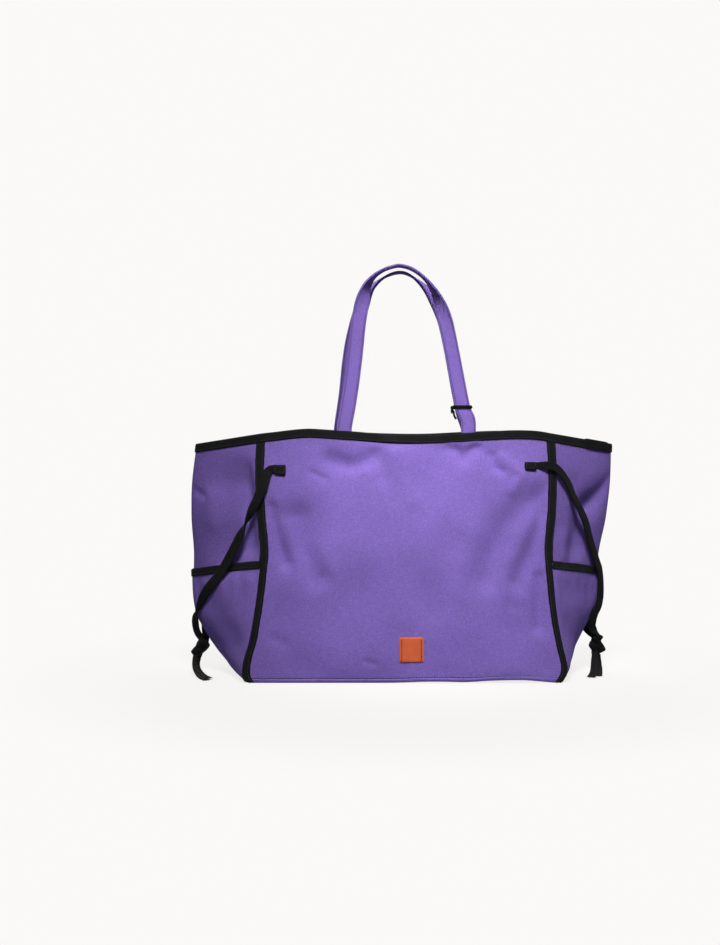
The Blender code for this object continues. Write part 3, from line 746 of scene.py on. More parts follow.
FOLDS = {
    Wall.FRONT: read_folds(
        (85, 52, -1570, 1940, -1490, 1620, -1380, 1340),
        (70, -16, -1340, 1760, -1300, 1520, -1270, 1340),
        (170, 58, -1240, 1840, -1160, 1520, -1020, 1200),
        (110, -14, -1000, 1500, -900, 1280),
        (180, 60, 1570, 2080, 1340, 1950, 1120, 1730, 1010, 1430, 920, 1180),
        (110, 46, 1600, 1840, 1500, 1600, 1380, 1360, 1260, 1140),
        (90, -16, 1470, 1900, 1310, 1680, 1180, 1380),
        (140, -14, 760, 1660, 640, 1360),
        (85, 44, 1520, 1160, 1500, 620),
        (100, 18, 1240, 1040, 1200, 880),
        (110, 46, -860, 2500, -620, 2430, -400, 2530),
        (60, -10, -640, 2340, -480, 2360),
        (45, 16, -1080, 2360, -940, 2290),
        (85, 42, 530, 2680, 660, 2530, 800, 2660),
        (50, 26, 990, 2560, 1020, 2430, 1090, 2380),
        (58, -16, 1120, 2530, 1330, 2340, 1220, 2150),
        (105, -20, -160, 2680, -70, 2340, 80, 2040),
        (80, 16, -300, 2600, -260, 2300),
        (32, 12, -460, 240, -360, 210),
        (260, 22, -1500, 780, -600, 980),
        (60, 14, -1520, 500, -1400, 440),
        (240, 18, 300, 860, 1200, 620),
    ),
    Wall.BACK: read_folds(
        (110, 48, -1500, 1960, -1280, 1680, -1100, 1400),
        (90, 50, 1520, 2000, 1400, 1680, 1260, 1320),
        (80, -20, 1280, 1900, 1120, 1600),
        (100, 42, 660, 2620, 780, 2500, 920, 2580),
        (100, 40, -920, 2580, -780, 2500, -640, 2600),
        (300, 22, -800, 800, 600, 700),
        (200, -16, 200, 1500, 700, 1200),
    ),
    Wall.LEFT: read_folds(
        (110, 52, 740, 2460, 840, 2050, 860, 1500),
        (230, 60, 580, 2640, 620, 2000, 600, 1400),
        (120, -26, 340, 2060, 360, 1780),
        (45, 20, 100, 2140, 240, 2080),
        (70, 20, 80, 2360, 180, 2500),
        (180, 18, 220, 920, 500, 700, 620, 500),
        (120, 50, -740, 2400, -820, 1950, -800, 1500),
        (60, 22, -160, 2020, -300, 1920),
        (160, 36, -220, 860, -520, 660),
    ),
    Wall.RIGHT: read_folds(
        (90, 42, -30, 2280, -200, 2120, -340, 1960),
        (150, 66, -340, 2000, -430, 1800, -460, 1500),
        (90, 22, -580, 2260, -500, 2000),
        (100, -20, -680, 1580, -660, 1440),
        (150, 20, -700, 1000, -300, 940),
        (120, 16, -620, 640, -500, 440),
        (100, 46, 160, 2220, 340, 1900, 360, 1600),
        (140, 40, 600, 980, 300, 920),
    ),
}
# Long waves of slack cloth: turns a metre across and up, phase, height
SLACK = (
    (7.0, 3.0, 0.4, 0.00075), (-4.0, 9.0, 1.9, 0.00060), (11.0, -6.0, 3.1, 0.00040),
    (15.0, 11.0, 5.2, 0.00025), (-19.0, 7.0, 0.9, 0.00018), (3.0, 17.0, 2.6, 0.00022),
)


@dataclass(frozen=True)
class Wing:
    """How far one side's gusset stands out.

    Attributes:
        bulge: How far its fold stands out at the foot.
        reach: How far it stands out at its widest.
        rows: The share of the way from one to the other, by share of the height.
        foot: How far out of line the side's seams stand near the foot, by height.
    """

    bulge: float
    reach: float
    rows: Rows
    foot: Rows


WINGS = {
    Side.LEFT: Wing(
        0.0195, 0.0865,
        (
            (0, 0), (0.03, 0.14), (0.07, 0.275), (0.11, 0.425), (0.155, 0.59), (0.2, 0.72),
            (0.245, 0.84), (0.288, 0.9), (0.445, 1), (0.745, 0.977), (1, 0.896),
        ),
        table(
            (0, -12), (30, 32), (70, 54), (120, 60), (200, 54), (300, 44), (450, 30), (690, 17),
            (1000, 6), (1300, 0), (2800, 0),
        ),
    ),
    Side.RIGHT: Wing(
        0.0100, 0.0775,
        (
            (0, 0), (0.049, 0.075), (0.1, 0.2), (0.153, 0.352), (0.195, 0.465),
            (0.288, 0.705), (0.483, 0.835), (0.584, 0.883), (0.77, 0.941), (1, 1),
        ),
        table(
            (0, -62), (30, -36), (70, -4), (140, 20), (230, 12), (410, 8), (740, -5), (1200, 0),
            (2800, 0),
        ),
    ),
}
# The height of the cloth's upper edge on each panel, by place across
RIMS = {
    Face.FRONT: table(
        (-1680, 2799), (-1500, 2819), (-1320, 2841), (-1130, 2855), (-950, 2846), (-750, 2832),
        (-580, 2821), (-390, 2804), (-210, 2791), (-20, 2784), (260, 2786), (440, 2791),
        (630, 2802), (800, 2812), (1000, 2824), (1180, 2835), (1370, 2836), (1550, 2825),
        (1680, 2802),
    ),
    Face.BACK: table(
        (-1680, 2800), (-1200, 2830), (-780, 2828), (-300, 2806), (200, 2798), (780, 2822),
        (1200, 2834), (1680, 2800),
    ),
}
# How far the front panel's foot stands off the floor, by place across
FRONT_FOOT = table(
    (-1800, 0), (-600, 0), (-100, 2), (200, 12), (450, 12), (650, 8), (1000, 26), (1450, 26),
    (1720, 4), (1800, 0),
)
# The share of the waist that a side seam is drawn in by, by share of the height
WAIST = (
    (0, 0), (0.07, -0.15), (0.16, 0.27), (0.3, 0.67), (0.43, 0.91), (0.51, 1), (0.69, 0.32),
    (0.83, 0), (1, 0),
)


@dataclass(frozen=True)
class BagForm:
    """The outside of the bag's walls, from which every layer on them takes its place.

    Attributes:
        base_width: The width at the foot.
        base_depth: The depth at the foot.
        mouth_width: The width at the rim.
        mouth_depth: The depth at the rim.
        rise: The height that shares of the foot's height are taken of.
        waist: How far the side seams are drawn in.
        belly: How far the panels swell.
        wing_height: The height of the wings' tips.
        crest: How round the wings' folds are.
        canvas: The canvas's thickness.
    """

    base_width: float = 0.354
    base_depth: float = 0.170
    mouth_width: float = 0.335
    mouth_depth: float = 0.076
    rise: float = 0.279
    waist: float = 0.0092
    belly: float = 0.0085
    wing_height: float = 0.2678
    crest: float = 0.09
    canvas: float = 0.0016

    def half_width(self, level: Array) -> Array:
        """Finds the distance from the middle to a side seam at a share of the height."""
        straight = (self.base_width + (self.mouth_width - self.base_width) * level) / 2
        return straight - self.waist * follow(WAIST, level)

    def half_depth(self, level: Array) -> Array:
        """Finds the distance from the middle to a panel's side edge."""
        return (self.base_depth + (self.mouth_depth - self.base_depth) * level) / 2

    def foot(self, share: Array, level: Array) -> Array:
        """Finds how far the corners of the foot spread out, or roll in under the bag."""
        left, right = (follow(WINGS[side].foot, level * self.wing_height) for side in Side)
        return np.where(share < 0, left, right) * share * np.abs(share) ** 7

    def relief(self, wall: Wall, across: Array, height: Array) -> Array:
        """Adds up the folds and the slack of a wall.

        Args:
            wall: The wall.
            across: Distances across from its middle.
            height: Heights.

        Returns:
            The distance inwards at each place.
        """
        total = np.zeros(across.shape)
        for turns, turns_up, phase, size in SLACK:
            total += size * np.sin(2 * math.pi * (turns * across + turns_up * height) + phase)
        for fold in FOLDS[wall]:
            total = total + fold.sink(across, height)
        return total

    def surface(self, wall: Wall, across: Array, level: Array) -> Array:
        """Finds points on the outside of a wall.

        Args:
            wall: The wall.
            across: Shares of the way from its first seam to its second.
            level: Shares of its height.

        Returns:
            The points.
        """
        across, level = np.broadcast_arrays(np.asarray(across, float), np.asarray(level, float))
        if wall.is_panel:
            return self.panel(Face[wall.name], across, level)
        return self.gusset(Side[wall.name], across, level)

    def panel(self, face: Face, across: Array, level: Array) -> Array:
        """Finds points on the front or back panel.

        Args:
            face: Which panel.
            across: Shares of the way from its first seam to its second.
            level: Shares of its height.

        Returns:
            The points.
        """
        half = self.half_width(level)
        x = -face.value * (2 * across - 1) * half
        x = x + self.foot(x / half, level)
        rim = follow(RIMS[face], x)
        z = level * rim
        crown = np.sin(math.pi * across) ** 0.8
        belly = self.belly * crown * np.sin(math.pi * np.clip(level, 0, 1) ** 0.8)
        room = ease((half - np.abs(x)) / 0.020) * ease(z / 0.018)
        room = room * ease((rim - z - 0.006) / 0.014)
        out = self.half_depth(level) + belly - room * self.relief(face.wall, x, z)
        if face is Face.FRONT:
            z = z + follow(FRONT_FOOT, x) * np.clip(1 - level, 0, 1) ** 12
        return np.stack([x, face.value * out, z], axis=-1)

    def gusset(self, side: Side, across: Array, level: Array) -> Array:
        """Finds points on a gusset, from one seam over its fold to the other.

        Args:
            side: Which gusset.
            across: Shares of the way from its first seam to its second.
            level: Shares of its height.

        Returns:
            The points.
        """
        wing = WINGS[side]
        u = (2 * across - 1) * side.value
        out = wing.bulge + (wing.reach - wing.bulge) * follow(wing.rows, level)
        depth = self.half_depth(level)
        slant = np.hypot(out, depth)
        bend = np.sqrt(u**2 + self.crest**2) - self.crest
        bend = bend / (math.sqrt(1 + self.crest**2) - self.crest)
        bend = u**2 + (bend - u**2) * ease(level / 0.14)
        edge_x = side.value * self.mouth_width / 2
        front, back = (follow(RIMS[face], edge_x) for face in Face)
        corner = np.where(u < 0, front, back)
        z = level * (corner + (self.wing_height - corner) * (1 - bend))
        room = ease((1 - np.abs(u)) * slant / 0.016) * ease(np.abs(u) * slant / 0.016)
        room = room * ease(z / 0.02) * ease((self.wing_height - z - 0.004) / 0.046)
        sink = room * self.relief(side.wall, u * slant * side.value, z)
        x = side.value * (self.half_width(level) + out * (1 - bend) - sink * depth / slant)
        edge = 1 - ease((1 - np.abs(u)) * 2.5)
        x = x + self.foot(np.full(u.shape, float(side.value)), level) * edge
        y = depth * u - np.sign(u) * sink * out / slant
        return np.stack([x, y, z], axis=-1)

    def width(self, wall: Wall, level: float) -> float:
        """Finds a wall's width from seam to seam at a share of the height."""
        line = self.surface(wall, np.linspace(0, 1, 41), np.full(41, level))
        return float(np.linalg.norm(np.diff(line, axis=0), axis=1).sum())

    def on_panel(self, face: Face, x: Array, z: Array) -> Array:
        """Finds points of a panel.

        Args:
            face: Which panel.
            x: Their places across.
            z: Their heights.

        Returns:
            The points.
        """
        x, z = np.broadcast_arrays(np.asarray(x, float), np.asarray(z, float))
        level = z / follow(RIMS[face], x)
        across = (1 - face.value * x / self.half_width(level)) / 2
        return self.panel(face, across, level)

    def cloth_at(self, face: Face, x: Array, z: Array) -> tuple[Array, Array]:
        """Finds points of a panel and its outward normals there.

        Args:
            face: Which panel.
            x: Their places across.
            z: Their heights.

        Returns:
            The points and the normals.
        """
        step = 0.0015
        along = self.on_panel(face, x + step, z) - self.on_panel(face, x - step, z)
        up = self.on_panel(face, x, z + step) - self.on_panel(face, x, z - step)
        return self.on_panel(face, x, z), unit(np.cross(along, up)) * -face.value


# A stitch's sections: share of its length, lift and size in radii of its thread
STITCH = np.array(
    [(0.0, -1.2, 0.55), (0.12, 0.5, 0.95), (0.5, 0.75, 1.0), (0.88, 0.5, 0.95), (1.0, -1.2, 0.55)]
)


@dataclass(frozen=True)
class Stitches:
    """One kind of stitching."""

    gap: float
    length: float
    radius: float

    def sew(self, name: str, lines: list[tuple[Array, Array]], finish: Material) -> Piece:
        """Sews rows of stitches along lines.

        Args:
            name: The piece's name.
            lines: Pairs of a line of points and the normals along it.
            finish: The thread.

        Returns:
            One piece that holds every stitch.
        """
        parts, lifts, sizes = STITCH.T
        stitches = []
        for line, normals in lines:
            run, starts = spread_out(line, self.gap)
            at = starts[:, None] + (parts - 0.5) * self.length
            middle = read_line(run, line, at)
            up = unit(read_line(run, normals, at))
            wide = unit(np.cross(unit(middle[:, -1:] - middle[:, :1]), up))
            middle = middle + up * (lifts * self.radius)[:, None]
            stitches.append(round_rings(middle, wide, up, sizes * self.radius, 6))
        return make_lofts(name, np.concatenate(stitches), finish)


def settle(piece: Piece, slot: str, *nodes: str, body: str = "bag") -> Piece:
    """Seats a piece on its body.

    Args:
        piece: The piece.
        slot: The record's material slot; not used.
        *nodes: The plain solids that it stands for.
        body: The body that it moves with.

    Returns:
        The piece.
    """
    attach(piece, body)
    if nodes:
        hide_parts(*nodes)
    LOG.info("%s", piece.name)
    return piece


def stay_beside(y: Array, half: Array) -> Array:
    """Keeps places on their own half of a wing, next to its middle plane."""
    return half * np.maximum(y * half, 0.0002)


@dataclass
class Dressing:
    """What every kind of piece on the bag is made from: the bag's form and the materials."""

    form: BagForm
    finish: Finishes


# The base's turned-up edge: height, and distance outwards
TURN_UP = table(
    (0, -22), (0, -10), (4, 0), (12, 8), (22, 12), (32, 14), (39, 13), (43, 9), (46, 3), (47, -6)
)
# The base's flat sheet: the share that it keeps of the outline's x, y and height
SHEET = ((0.25, 0.25, 0), (0.5, 0.5, 0), (0.75, 0.75, 0.2), (0.9, 0.9, 0.6), (0.97, 0.97, 0.9))


@dataclass
class Shell(Dressing):
    """The bag's canvas: two panels, two gussets and the base."""

    sheet: float = 0.0020
    lip: float = 0.0022
    seam_height: float = 0.0051
    # Stitches nearly end to end, so the base seam's row reads as one dark line: thread and painted
    # shade of the seam's crease
    stitches: Stitches = Stitches(0.0029, 0.0027, 0.00040)

    def wall(self, wall: Wall, columns: int, rows: int) -> None:
        """Makes one wall, from just under the base's edge up to the rim.

        Args:
            wall: The wall.
            columns: How many columns of points it has.
            rows: How many rows of points it has.
        """
        across = np.linspace(0.002, 0.998, columns)[None, :]
        level = np.linspace(0.014, 0.999, rows)[:, None]
        over = self.form.surface(wall, across, level)
        under = over - grid_normals(over) * self.form.canvas
        if not wall.is_panel:
            under[..., 1] = stay_beside(under[..., 1], np.sign(over[..., 1]))
        node = wall.value + ("_panel" if wall.is_panel else "_gusset")
        settle(make_layer(node, over, under, self.finish.canvas), "canvas", node)

    def outline(self, level: float) -> Array:
        """Finds the bag's outline at a share of the height.

        Args:
            level: The share.

        Returns:
            Points that go round the bag.
        """
        lines = []
        for wall in Wall:
            count = 90 if wall.is_panel else 45
            across = np.arange(count) / count
            lines.append(self.form.surface(wall, across, np.full(count, level)))
        return np.concatenate(lines)

    def base(self) -> None:
        """Makes the base panel, turned up all round with a rounded edge, and its topstitching."""
        foot = self.outline(0.0)
        outwards = unit(foot * (1, 1, 0))
        rings = []
        for height, out in TURN_UP:
            ring = self.outline(height / self.form.rise) + outwards * out
            ring[:, 2] = foot[:, 2] + height
            rings.append(ring)
        over = np.array(rings)
        under = over - outwards * self.lip
        under[:3, :, 2] += self.sheet * np.array([[1], [1], [0.8]])
        floor = over[0] * np.array(SHEET)[:, None]
        inside = floor + (0, 0, self.sheet)
        piece = self.close_base(np.array([[*floor, *over], [*inside, *under]]))
        settle(piece, "canvas", "base_panel")
        # The topstitching's close dark row also paints the shade of the seam's crease
        seam = self.outline(self.seam_height / self.form.rise)
        lines = [(seam, unit(outwards + (0, 0, 0.1)))]
        thread = self.stitches.sew("base_stitching", lines, self.finish.purple_thread)
        settle(thread, "canvas")

    def close_base(self, skins: Array) -> Piece:
        """Makes the base of its two skins.

        Args:
            skins: The rings of its outer skin and of its inner skin.

        Returns:
            The base panel.
        """
        rows, columns = skins.shape[1:3]
        count = rows * columns
        top = np.arange(count - columns, count)
        after = np.roll(top, -1)
        edge = np.stack([top, after, after + count, top + count], axis=-1)
        outer, inner = quads(rows, columns, True), quads(rows, columns, True, count)[:, ::-1]
        faces = np.concatenate([outer, inner, edge]).tolist()
        faces += [list(range(columns))[::-1], list(range(count, count + columns))]
        points = skins.reshape(-1, 3)
        points[:, 2] = np.maximum(points[:, 2], 0)
        return make_piece("base_panel", points, faces, self.finish.canvas, points[:, :2])

    def make(self) -> None:
        """Makes every piece of canvas wall."""
        self.wall(Wall.FRONT, 170, 140)
        self.wall(Wall.BACK, 110, 90)
        self.wall(Wall.LEFT, 101, 110)
        self.wall(Wall.RIGHT, 101, 110)
        self.base()


# A seam tape's section: share of half its width, share of its thickness
TAPE_SHARES = np.array([-1, -0.97, -0.85, -0.6, -0.3, 0, 0.3, 0.6, 0.85, 0.97, 1])
TAPE_CROWN = np.array([0.05, 0.55, 0.88, 0.96, 1, 1.04, 1, 0.96, 0.88, 0.55, 0.05])
# The columns of that section that are sewn through
TAPE_SEAMS = (3, 7)


@dataclass
class SeamTapes(Dressing):
    """Black tape bent over each upright seam, with a row of stitches near each edge."""

    width: float = 0.0108
    thick: float = 0.0014
    rows: int = 120
    stitches: Stitches = Stitches(0.0030, 0.0020, 0.00020)

    def strip(self, corner: int, offsets: Array, lift: Array | float) -> Array:
        """Finds points on both sides of a seam.

        Args:
            corner: Which seam, counted round the bag.
            offsets: Distances across the seam.
            lift: How far off the cloth each of them is.

        Returns:
            Rows of points that go up the seam.
        """
        walls = list(Wall)
        first, second = walls[corner], walls[(corner + 1) % 4]
        levels = np.linspace(0.002, 0.968, self.rows)
        rows = []
        for level in levels:
            flare = 1 + 0.05 * math.exp(-(((level - 0.050) / 0.050) ** 2))
            flare += 0.02 * math.sin(level * 61 + corner) + 0.015 * math.sin(level * 143)
            places = offsets * flare
            before = 1 + np.minimum(places, 0) / self.form.width(first, level)
            after = np.maximum(places, 0) / self.form.width(second, level)
            before = self.form.surface(first, before, level)
            after = self.form.surface(second, after, level)
            rows.append(np.where(places[:, None] < 0, before, after))
        grid = np.array(rows)
        normals = grid_normals(grid)
        middle = len(offsets) // 2
        seam = unit(normals[:, :1] + normals[:, -1:])
        turn = np.clip(1 - np.abs(offsets) / 0.002, 0, 1)[None, :, None]
        normals = unit(normals * (1 - turn) + seam * turn)
        grid[:, middle] -= normals[:, middle] * 0.0004
        foot = 1 + 0.9 * np.exp(-((levels / 0.024) ** 4))[:, None]
        grid = grid + normals * (np.maximum(lift, 0) * foot + np.minimum(lift, 0))[..., None]
        grid[..., 2] = np.maximum(grid[..., 2], 0.0002)
        return grid

    def make(self) -> None:
        """Makes the four tapes and their stitches."""
        offsets = TAPE_SHARES * self.width / 2
        lines = []
        for corner, node in enumerate(("front_right", "back_right", "back_left", "front_left")):
            over = self.strip(corner, offsets, TAPE_CROWN * self.thick)
            under = self.strip(corner, offsets, -0.0003)
            name = node + "_seam_tape"
            settle(make_layer(name, over, under, self.finish.tape), "black_tape", name)
            normals = grid_normals(over)
            lines += [(over[:, column], normals[:, column]) for column in TAPE_SEAMS]
        thread = self.stitches.sew("seam_tape_stitching", lines, self.finish.black_thread)
        settle(thread, "black_tape")


@dataclass
class RimBinding(Dressing):
    """Black tape folded over the rim, with its stitches and the overlap of its ends."""

    height: float = 0.0092
    thick: float = 0.0013
    panel_columns: int = 110
    gusset_columns: int = 81
    overlap_start: int = 131
    overlap_columns: int = 15
    stitches: Stitches = Stitches(0.0031, 0.0019, 0.00023)

    def edge(self) -> tuple[Array, Array, Array, Array]:
        """Goes round the rim.

        Returns:
            Its points, the outward and the upward way at each, and whether each is on a gusset.
        """
        points, outs, ups, folded = [], [], [], []
        for wall in Wall:
            count = self.panel_columns if wall.is_panel else self.gusset_columns
            level = np.array([0.955, 1.0])[:, None]
            grid = self.form.surface(wall, np.arange(count)[None, :] / count, level)
            points.append(grid[1])
            outs.append(grid_normals(grid)[1])
            ups.append(unit(grid[1] - grid[0]))
            folded.append(np.full(count, not wall.is_panel))
        outs = np.concatenate(outs)
        for _ in range(3):
            outs = unit(np.roll(outs, 1, axis=0) + 2 * outs + np.roll(outs, -1, axis=0))
        return np.concatenate(points), outs, np.concatenate(ups), np.concatenate(folded)

    def section(self) -> Array:
        """Draws the outline of the folded tape.

        Returns:
            Pairs of a distance out of the cloth and a distance up from its edge.
        """
        t, c, h = self.thick, self.form.canvas, self.height
        outer = [(0.0, -h), (t * 0.7, -h * 0.995), (t, -h * 0.94), (t * 0.9, -h * 0.80)]
        outer += [(t, -h * 0.62), (t * 1.05, -h * 0.3), (t, -0.0008), (t * 0.72, t * 0.55)]
        outer += [(0.0, t * 0.98), (-c / 2, t * 1.08)]
        return np.array(outer + [(-c - out, up) for out, up in reversed(outer[:-1])])

    def make(self) -> None:
        """Makes the binding, the overlap and the stitches."""
        points, outs, ups, folded = self.edge()
        section = self.section()
        rings = tape_rings(points, outs, ups, section)
        inner = folded[:, None] & (section[None, :, 0] < -self.form.canvas / 2)
        kept = stay_beside(rings[..., 1], np.sign(points[:, 1])[:, None])
        rings[..., 1] = np.where(inner, kept, rings[..., 1])
        over = np.swapaxes(rings, 0, 1)
        size, count = over.shape[:2]
        low = np.arange(count)
        high, last = np.roll(low, -1), (size - 1) * count
        close = np.stack([low, last + low, last + high, high], axis=-1)
        faces = np.concatenate([quads(size, count, True), close]).tolist()
        piece = make_piece("rim_binding", over, faces, self.finish.tape, cloth_map(over))
        settle(piece, "black_tape", "rim_binding")
        self.overlap(points, outs, ups, section)
        line = points - ups * self.height * 0.80 + outs * self.thick * 0.9
        inside = points - ups * self.height * 0.80 - outs * (self.form.canvas + self.thick * 0.9)
        lines = [(line, outs)]
        for start in (0, self.panel_columns + self.gusset_columns):
            panel = slice(start, start + self.panel_columns)
            lines.append((inside[panel], -outs[panel]))
        thread = self.stitches.sew("rim_binding_stitching", lines, self.finish.black_thread)
        settle(thread, "black_tape")

    def overlap(self, points: Array, outs: Array, ups: Array, section: Array) -> None:
        """Makes the binding's turned-in end, laid over its start on the right wing.

        Args:
            points: The rim's points.
            outs: The outward way at each.
            ups: The upward way at each.
            section: The outline of the folded tape.
        """
        count = self.overlap_columns
        part = slice(self.overlap_start, self.overlap_start + count)
        swell = np.interp(np.arange(count), [0, 1, count - 2, count - 1], [0.35, 1, 1, 0.7])
        grown = np.sign(section[:, 0] + self.form.canvas / 2) * 0.0009
        lifted = np.where(section[:, 1] > -0.001, 0.0010, 0.0)
        outline = section + np.stack([grown, lifted], axis=-1) * swell[:, None, None]
        rings = tape_rings(points[part], outs[part], ups[part], outline)
        rings[..., 1] = np.minimum(rings[..., 1], -0.0004)
        settle(make_loft("rim_binding_overlap", rings, self.finish.tape), "black_tape")


# A pocket binding's section: share of its height
BINDING_ROWS = np.array([0.0, 0.03, 0.14, 0.45, 0.75, 0.93, 1.0])[:, None]


@dataclass
class Pocket(Dressing):
    """A flat pocket on a gusset, gathered a little under its bound top edge."""

    side: Side
    fold_height: float
    gather: float
    seam_height: float = 0.1355
    cloth: float = 0.0012
    binding: float = 0.0094
    binding_thick: float = 0.0014
    stitches: Stitches = Stitches(0.0030, 0.0019, 0.00021)

    def lay(self, across: Array, height: Array) -> tuple[Array, Array]:
        """Lays a grid on the gusset.

        Args:
            across: Shares of the way across it.
            height: Heights.

        Returns:
            The points and the outward normals.
        """
        top = self.form.surface(self.side.wall, across, np.ones((1, 1)))[..., 2]
        grid = self.form.surface(self.side.wall, across, height / top)
        return grid, grid_normals(grid)

    def gathers(self, across: Array, rise: Array) -> Array:
        """Finds how far the gathers stand out below the binding.

        Args:
            across: Shares of the way across.
            rise: Shares of the pocket's height.

        Returns:
            The distance at each place.
        """
        wave = np.sin(across * 62 + 0.8 * np.sin(across * 23)) * 0.5 + 0.5
        edge = ease(np.minimum(across, 1 - across) / 0.08) * ease(np.abs(across - 0.5) / 0.04)
        fall = np.exp(-((1 - rise) / 0.24) ** 2) * ease((0.94 - rise) / 0.10)
        return self.gather * wave * edge * fall

    def make(self) -> None:
        """Makes the pocket's cloth, its binding and their stitches."""
        name = self.side.word + "_pocket"
        across = np.linspace(0.012, 0.988, 97)[None, :]
        rise = np.linspace(0, 1, 70)[:, None]
        dip = (1 - np.abs(2 * across - 1)) ** 1.1
        top = self.seam_height + (self.fold_height - self.seam_height) * dip
        foot = 0.004
        base, normals = self.lay(across, foot + (top - self.binding * 0.3 - foot) * rise)
        sag = (self.gathers(across, rise) + 0.0008 * ease(rise * 6))[..., None]
        over, under = base + normals * (sag + self.cloth), base + normals * sag
        settle(make_layer(name, over, under, self.finish.canvas), "canvas", name)
        name += "_binding"
        base, normals = self.lay(across, top - self.binding + self.binding * BINDING_ROWS)
        stand = self.binding_thick + self.cloth + 0.0006
        lift = np.array([0.0007, stand * 0.8, stand, stand, stand * 1.05, stand, stand * 0.7])
        over, under = base + normals * lift[:, None, None], base + normals * 0.0002
        settle(make_layer(name, over, under, self.finish.tape), "black_tape", name)
        lines = [(over[2] * 0.6 + over[3] * 0.4, normals[2])]
        thread = self.stitches.sew(name + "_stitching", lines, self.finish.black_thread)
        settle(thread, "black_tape")


@dataclass
class Patch(Dressing):
    """A leather patch with rounded corners, sewn down along its two upright edges."""

    width: float = 0.0275
    height: float = 0.0280
    thick: float = 0.0016
    corner: float = 0.0022
    middle: tuple[float, float] = (0.0050, 0.0370)
    inset: float = 0.0026
    columns: int = 41
    stitches: Stitches = Stitches(0.0030, 0.0019, 0.00048)

    def lay(self, x: Array, z: Array) -> tuple[Array, Array]:
        """Finds points and normals of the panel, from the patch's middle."""
        return self.form.cloth_at(Face.FRONT, x + self.middle[0], z + self.middle[1])

    def make(self) -> None:
        """Makes the patch and its stitches."""
        half_wide, half_high = self.width / 2, self.height / 2
        across, up = np.meshgrid(*[np.linspace(-1, 1, self.columns)] * 2)
        x, z = across * half_wide, up * half_high
        past_x = np.maximum(np.abs(x) - (half_wide - self.corner), 0)
        past_z = np.maximum(np.abs(z) - (half_high - self.corner), 0)
        reach = np.hypot(past_x, past_z)
        pull = np.where(reach > 0, np.maximum(past_x, past_z) / np.maximum(reach, 1e-9), 1)
        x = np.sign(x) * (np.abs(x) - past_x * (1 - pull))
        z = np.sign(z) * (np.abs(z) - past_z * (1 - pull))
        rim = np.minimum(half_wide - np.abs(x), half_high - np.abs(z))
        rim = np.minimum(rim, self.corner - np.minimum(reach * pull, self.corner))
        base, normal = self.lay(x, z)
        row = np.exp(-(((np.abs(x) - (half_wide - self.inset)) / 0.0009) ** 2))
        lift = self.thick * (0.55 + 0.45 * ease(rim / 0.0011)) - 0.00035 * row
        over, under = base + normal * lift[..., None], base + normal * 0.0001
        patch = make_layer("leather_patch", over, under, self.finish.leather)
        settle(patch, "leather", "leather_patch")
        lines = []
        rise = np.linspace(-0.90, 0.90, 40) * half_high
        for side in Side:
            seam, outwards = self.lay(np.full(40, side.value * (half_wide - self.inset)), rise)
            lines.append((seam + outwards * self.thick * 0.85, outwards))
        thread = self.stitches.sew("leather_patch_stitching", lines, self.finish.brown_thread)
        settle(thread, "leather")


def mirrored(*quarter: tuple[float, float]) -> Array:
    """Completes an outline.

    Args:
        *quarter: Its points from its left end to its top, the two ends with them.

    Returns:
        Pairs of a share of half the width and a share of half the thickness, going round.
    """
    upper = [*quarter, *[(-across, up) for across, up in quarter[-2::-1]]]
    return np.array(upper + [(across, -up) for across, up in upper[-2:0:-1]])


# The outline of a handle strap, and of a tie's soft tape
STRAP_OUTLINE = mirrored(
    (-1, 0), (-0.985, 0.45), (-0.94, 0.82), (-0.86, 0.98), (-0.77, 0.84), (-0.68, 0.98),
    (-0.35, 1.04), (0, 1.06),
)
TIE_OUTLINE = mirrored((-1, 0), (-0.96, 0.62), (-0.84, 0.94), (-0.5, 1), (0, 0.94))
# The middle line of each leg of a handle: up from its hinge, and across
LEGS = {
    (Face.FRONT, Side.LEFT): table(
        (0, -713), (50, -707), (120, -694), (243, -671), (385, -648), (526, -627), (668, -609),
        (810, -592), (953, -577), (1096, -563), (1239, -548), (1382, -526), (1526, -497),
        (1650, -460), (1740, -416), (1820, -345), (1880, -250), (1918, -140), (1928, -55),
    ),
    (Face.FRONT, Side.RIGHT): table(
        (0, 728), (60, 728), (120, 718), (180, 690), (243, 666), (310, 652), (385, 638),
        (526, 612), (668, 586), (810, 560), (953, 533), (1096, 506), (1239, 476), (1382, 438),
        (1526, 386), (1650, 326), (1750, 254), (1840, 158), (1900, 55),
    ),
    (Face.BACK, Side.LEFT): table(
        (0, -760), (110, -745), (260, -722), (400, -702), (550, -685), (700, -671), (840, -654),
        (980, -634), (1100, -610), (1250, -574), (1400, -530), (1520, -486), (1630, -436),
        (1710, -380), (1790, -286), (1852, -170), (1876, -55),
    ),
    (Face.BACK, Side.RIGHT): table(
        (0, 784), (80, 758), (200, 716), (400, 673), (550, 643), (700, 615), (980, 560),
        (1270, 494), (1410, 440), (1510, 386), (1650, 288), (1770, 168), (1852, 45),
    ),
}


